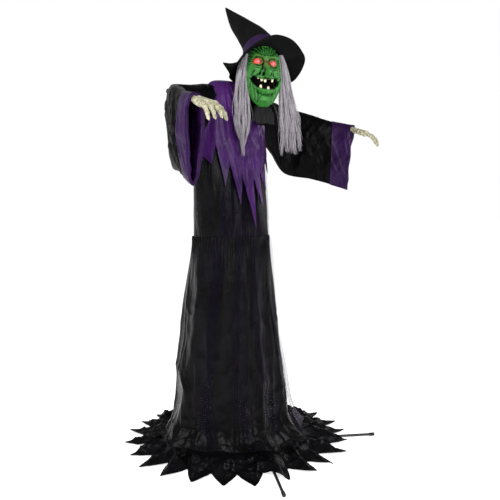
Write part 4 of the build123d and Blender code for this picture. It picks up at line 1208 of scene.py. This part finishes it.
def build_eye(name, side):
    """Domed lens, with its bright middle facing forwards."""
    rows, columns = 22, 40
    tilt = np.linspace(0.0, math.radians(100.0), rows)[:, None]
    turn = full_turn(columns)[None]
    x = side * EYE_X + EYE_RADIUS * np.sin(tilt) * np.cos(turn)
    z = EYE_Z - FACE_TILT * side * EYE_X + EYE_RADIUS * np.sin(tilt) * np.sin(turn)
    y = -0.0665 - EYE_RADIUS * np.cos(tilt) + 0 * turn
    glow = np.clip(1.0 - tilt / math.radians(62.0), 0.0, 1.0) ** 0.8 + 0 * turn
    eye = add_grid(f"{name}_lens", turn_with_head(joined((x, y, z))), EYE_LENS, closed=True,
                   attributes={"glow": glow})
    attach(eye, "head")
    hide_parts(name)


def build_hair(name, side):
    """A bunch of long strands beside the face, wavy and thinning to ragged ends."""
    count, steps = 520, 24
    random = np.random.default_rng(5 if side > 0 else 9)
    down = np.linspace(0.0, 1.0, steps)
    # Centre x, centre y, half spread in x and y, and height, from the hat to the ends.
    if side > 0:
        stations = [(0.084, -0.020, 0.012, 0.022, 1.858), (0.094, -0.030, 0.020, 0.022, 1.790),
                    (0.104, -0.036, 0.030, 0.024, 1.680), (0.116, -0.040, 0.040, 0.024, 1.560),
                    (0.127, -0.040, 0.048, 0.020, 1.470), (0.132, -0.040, 0.056, 0.014, 1.385)]
    else:
        stations = [(0.080, -0.018, 0.012, 0.022, 1.858), (0.092, -0.026, 0.021, 0.022, 1.790),
                    (0.100, -0.032, 0.031, 0.024, 1.680), (0.101, -0.038, 0.037, 0.024, 1.560),
                    (0.099, -0.040, 0.041, 0.022, 1.465), (0.097, -0.042, 0.007, 0.008, 1.385)]
    line = spline(stations, down * (len(stations) - 1))
    angle = random.uniform(0, 2 * math.pi, count)
    reach = np.sqrt(random.uniform(0.0, 1.0, count))
    lock = joined((np.cos(angle) * reach, np.sin(angle) * reach))
    tuft = np.round(lock * 2.6) / 2.6
    lock = 0.62 * lock + 0.38 * tuft
    phase = 0.5 * random.uniform(0, 2 * math.pi, (count, 2)) + 7.0 * tuft
    curl = random.uniform(0.0020, 0.0085, (count, 1))
    x = line[None, :, 0] + lock[:, :1] * line[None, :, 2] + curl * np.sin(down * 15 + phase[:, :1]) * down
    y = line[None, :, 1] + lock[:, 1:] * line[None, :, 3] + curl * np.sin(down * 12 + phase[:, 1:]) * down
    length = 1.0 - 0.26 * random.uniform(0, 1, (count, 1)) ** 1.3
    length = length - 0.08 * (0.5 + 0.5 * np.sin(tuft[:, :1] * 9))
    if side < 0:
        length = 1.0 - 0.20 * np.abs(lock[:, :1]) - 0.05 * random.uniform(0, 1, (count, 1))
    z = HAIR_TOP + (line[None, :, 4] - HAIR_TOP) * length
    paths = joined((x * side, y, z))
    thick = random.uniform(0.0007, 0.0013, (count, 1))
    radii = thick * (1.0 - 0.75 * down[None] ** 2)
    # Random tone per strand, plus painted shade on the strands deep inside each bunch.
    shade = np.clip(random.normal(0.5, 0.24, (count, 1)) - 0.25 * (1 - reach[:, None]), 0, 1)
    shade = np.repeat((shade + 0 * down[None])[:, :, None], 4, axis=2)
    hair = add_tubes(f"{name}_strands", turn_with_head(paths), radii, 4, GREY_HAIR,
                     attributes={"shade": shade})
    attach(hair, "head")
    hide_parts(name)


def build_hood():
    """Black cloth from under the hat down the back of the head to the neck."""
    rows, columns = 70, 150
    down = np.linspace(0.0, 1.0, rows)
    theta = np.radians(np.linspace(72.0, 288.0, columns))
    line = spline([(1.865, 0.094, 0.004), (1.800, 0.099, 0.002), (1.735, 0.098, 0.000), (1.690, 0.084, 0.000),
                   (1.640, 0.060, 0.002), (1.606, 0.047, 0.002)], down * 5)
    grid_theta = np.broadcast_to(theta, (rows, columns))
    z = line[:, 0][:, None] + 0 * grid_theta
    fold = 0.0045 * noise(ring_noise_place(grid_theta, z, 26.0, 7.0), 14)
    reach = line[:, 1][:, None] + fold
    way = around(grid_theta)
    grid = joined((way[..., 0] * reach * 0.93, line[:, 2][:, None] + way[..., 1] * reach, z))
    hood = add_grid("hood_cloth", turn_with_head(grid), CRINKLE)
    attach(hood, "head")
    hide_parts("hood")


# ---- the hat ----
HAT_TIP_BACK = math.radians(36.0)
HAT_PLACE = np.array((0.0, -0.002, 1.838))
HAT_ACROSS = np.array((1.0, 0.0, 0.0))
HAT_REAR = np.array((0.0, math.cos(HAT_TIP_BACK), -math.sin(HAT_TIP_BACK)))
HAT_UP = np.array((0.0, math.sin(HAT_TIP_BACK), math.cos(HAT_TIP_BACK)))
# Height over the brim plane, sideways and rearward shift, half width and half length.
HAT_RINGS = [
    (0.004, 0.006, 0.020, 0.0935, 0.1055), (0.040, 0.010, 0.019, 0.0905, 0.1010),
    (0.086, 0.012, 0.018, 0.0865, 0.0960), (0.092, 0.012, 0.018, 0.0860, 0.0950),
    (0.150, -0.010, 0.016, 0.0730, 0.0800), (0.205, -0.044, 0.012, 0.0570, 0.0620),
    (0.262, -0.083, 0.006, 0.0400, 0.0430), (0.310, -0.113, -0.002, 0.0210, 0.0220),
    (0.350, -0.136, -0.008, 0.0030, 0.0030),
]
# Outer rim of the brim in the head's own frame, going round from the front towards its left.
BRIM_RIM = [
    (0.012, -0.158, 1.916), (0.062, -0.158, 1.915), (0.120, -0.130, 1.902), (0.172, -0.082, 1.872),
    (0.203, -0.030, 1.844), (0.198, 0.010, 1.800), (0.170, 0.036, 1.758), (0.142, 0.072, 1.750),
    (0.108, 0.120, 1.750), (0.050, 0.156, 1.750), (-0.030, 0.158, 1.752), (-0.100, 0.132, 1.756),
    (-0.140, 0.078, 1.766), (-0.152, 0.010, 1.776), (-0.187, -0.026, 1.815), (-0.149, -0.060, 1.789),
    (-0.104, -0.104, 1.842), (-0.050, -0.142, 1.886),
]
# Place of the pinched tail along that rim, counted in stations.
BRIM_TAIL_AT = 14.3


def hat_points(height, shift_x, shift_y, half_x, half_y, theta):
    across = (shift_x + half_x * np.sin(theta))[..., None] * HAT_ACROSS
    rear = (shift_y - half_y * np.cos(theta))[..., None] * HAT_REAR
    return HAT_PLACE + across + rear + np.asarray(height)[..., None] * HAT_UP


def hat_surface(first, last, rows, columns, dent, out=0.0):
    at = np.linspace(first, last, rows)
    s = spline(HAT_RINGS, at)
    theta = full_turn(columns)
    grid_theta = np.broadcast_to(theta, (rows, columns))
    h, sx, sy, hx, hy = (s[:, k][:, None] + 0 * grid_theta for k in range(5))
    ripple = dent * noise(ring_noise_place(grid_theta, h, 9.0, 16.0), 5) * np.minimum(hx / 0.08, 1.0)
    return hat_points(h, sx, sy, hx + ripple + out, hy + ripple + out, grid_theta)


def build_hat():
    crown_grid = hat_surface(2.6, 8.0, 90, 120, 0.007)
    crown = add_grid("hat_crown_felt", turn_with_head(crown_grid), HAT_FELT, closed=True)
    band_grid = hat_surface(0.0, 2.75, 36, 160, 0.0035, 0.0015)
    band = add_grid("hat_band_satin", turn_with_head(band_grid), BAND_SATIN, closed=True)
    columns, rows = 216, 40
    turn = np.arange(columns) / columns
    rim_stations = np.array(BRIM_RIM)
    looped = np.concatenate((rim_stations[-2:], rim_stations, rim_stations[:3]))
    rim = spline(looped, 2 + turn * len(rim_stations))
    theta = np.arctan2(rim[:, 0], -(rim[:, 1] - 0.014))
    inner = hat_points(np.full(columns, 0.002), np.zeros(columns), np.full(columns, 0.020),
                       np.full(columns, 0.0925), np.full(columns, 0.1040), theta)
    share = np.linspace(0.0, 1.0, rows)[:, None, None]
    grid = inner[None] * (1 - share) + rim[None] * share
    bow = 0.016 * np.sin(share[..., 0] * math.pi)
    wave = 0.006 * noise(joined((np.cos(theta) * 2.2, np.sin(theta) * 2.2, 0 * theta)), 6)
    tail = hump(turn * len(rim_stations), BRIM_TAIL_AT, 1.1)
    sag = 0.044 * tail[None] * np.sin(share[..., 0] * math.pi)
    grid = grid + (bow - sag + wave[None] * share[..., 0])[..., None] * HAT_UP * 0.6
    brim = add_grid("hat_brim_felt", turn_with_head(grid), HAT_FELT, closed=True)
    for piece, node in ((crown, "hat_crown"), (band, "hat_band"), (brim, "hat_brim")):
        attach(piece, "head")
        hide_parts(node)
        thicken(piece, 0.0022)


# ---- stage, lights and camera ----
def build_camera():
    """Camera a little above the figure's waist, to its right of the front and tipped down."""
    azimuth = math.radians(-53.5)
    distance, aside, height, pitch = 3.0, 0.0504, 1.187, math.radians(4.55)
    back = Vector((math.sin(azimuth), -math.cos(azimuth), 0.0))
    look = -back
    right = Vector((look.y, -look.x, 0.0))
    data = bpy.data.cameras.new("camera")
    data.sensor_width = 36.0
    data.lens = 45.14
    camera = placed("camera", data)
    forward = look * math.cos(pitch) - Vector((0, 0, 1)) * math.sin(pitch)
    camera.location = back * distance - right * aside + Vector((0, 0, height))
    camera.rotation_euler = forward.to_track_quat("-Z", "Y").to_euler()
    bpy.context.scene.camera = camera


def add_light(name, azimuth, distance, height, size, power, aim):
    """A soft light at an angle round the figure, aimed at a height on its middle line."""
    data = bpy.data.lights.new(name, "AREA")
    data.shape = "RECTANGLE"
    data.size, data.size_y = size
    data.energy = power
    light = placed(name, data)
    angle = math.radians(azimuth)
    light.location = (math.sin(angle) * distance, -math.cos(angle) * distance, height)
    light.rotation_euler = (Vector((0.0, 0.0, aim)) - light.location).to_track_quat("-Z", "Y").to_euler()


# Name, angle round the figure, distance, height, size, watts and the height that it aims at.
LIGHTS = [
    ("key", -98.0, 3.4, 2.7, (1.3, 2.2), 86.0, 1.1),
    ("fill", -14.0, 3.6, 2.2, (1.2, 2.2), 68.0, 1.1),
    ("front", -38.0, 3.5, 2.3, (0.25, 1.9), 12.0, 0.9),
    ("side", 72.0, 3.6, 2.3, (1.0, 2.0), 32.0, 1.2),
]


def build_stage():
    """Pale floor, and a world that looks white but lights the scene only softly."""
    size = 30.0
    corners = [(-size, -size, 0), (size, -size, 0), (size, size, 0), (-size, size, 0)]
    floor = add_mesh("floor", corners, [(0, 1, 2, 3)], floor_paper("floor_paper"))
    floor.location.z = -0.0005
    world = bpy.data.worlds.new("studio")
    bpy.context.scene.world = world
    world.use_nodes = True
    tree = world.node_tree
    background = tree.nodes["Background"]
    background.inputs["Color"].default_value = (1.0, 1.0, 1.0, 1.0)
    background.inputs["Strength"].default_value = 0.40
    seen = tree.nodes.new("ShaderNodeBackground")
    seen.inputs["Color"].default_value = (1.0, 1.0, 1.0, 1.0)
    choice = tree.nodes.new("ShaderNodeMixShader")
    tree.links.new(tree.nodes.new("ShaderNodeLightPath").outputs["Is Camera Ray"], choice.inputs["Fac"])
    tree.links.new(background.outputs["Background"], choice.inputs[1])
    tree.links.new(seen.outputs["Background"], choice.inputs[2])
    tree.links.new(choice.outputs["Shader"], tree.nodes["World Output"].inputs["Surface"])
    for numbers in LIGHTS:
        add_light(*numbers)
    bpy.context.scene.view_settings.view_transform = "Standard"


build_stage()
build_camera()
finish_cad_nodes()
build_skirt()
build_bodice()
build_tunic()
build_bodice_net()
for number, centre, width, length, flare in NET_STRIPS:
    skirt_strip(f"net_strip_{number}", centre, width, length, PURPLE_GAUZE, number + 1, flare)
skirt_strip("net_strip_grey", 38.0, 13.0, 0.955, GREY_GAUZE, 9, 0.022)
build_cowl()
for arm, way in (("left", 1.0), ("right", -1.0)):
    build_sleeve(arm, way)
    build_cuff(arm, way)
    build_hand(arm, way)
    build_hair(f"hair_{arm}", way)
    build_eye(f"eye_{arm}", way)
build_mask()
build_jaw()
build_teeth("upper_teeth_pegs", "head", UPPER_TEETH, "teeth_upper")
build_teeth("lower_teeth_pegs", "jaw", LOWER_TEETH, "teeth_lower")
build_mouth_shade_sheet()
build_hood()
build_hat()
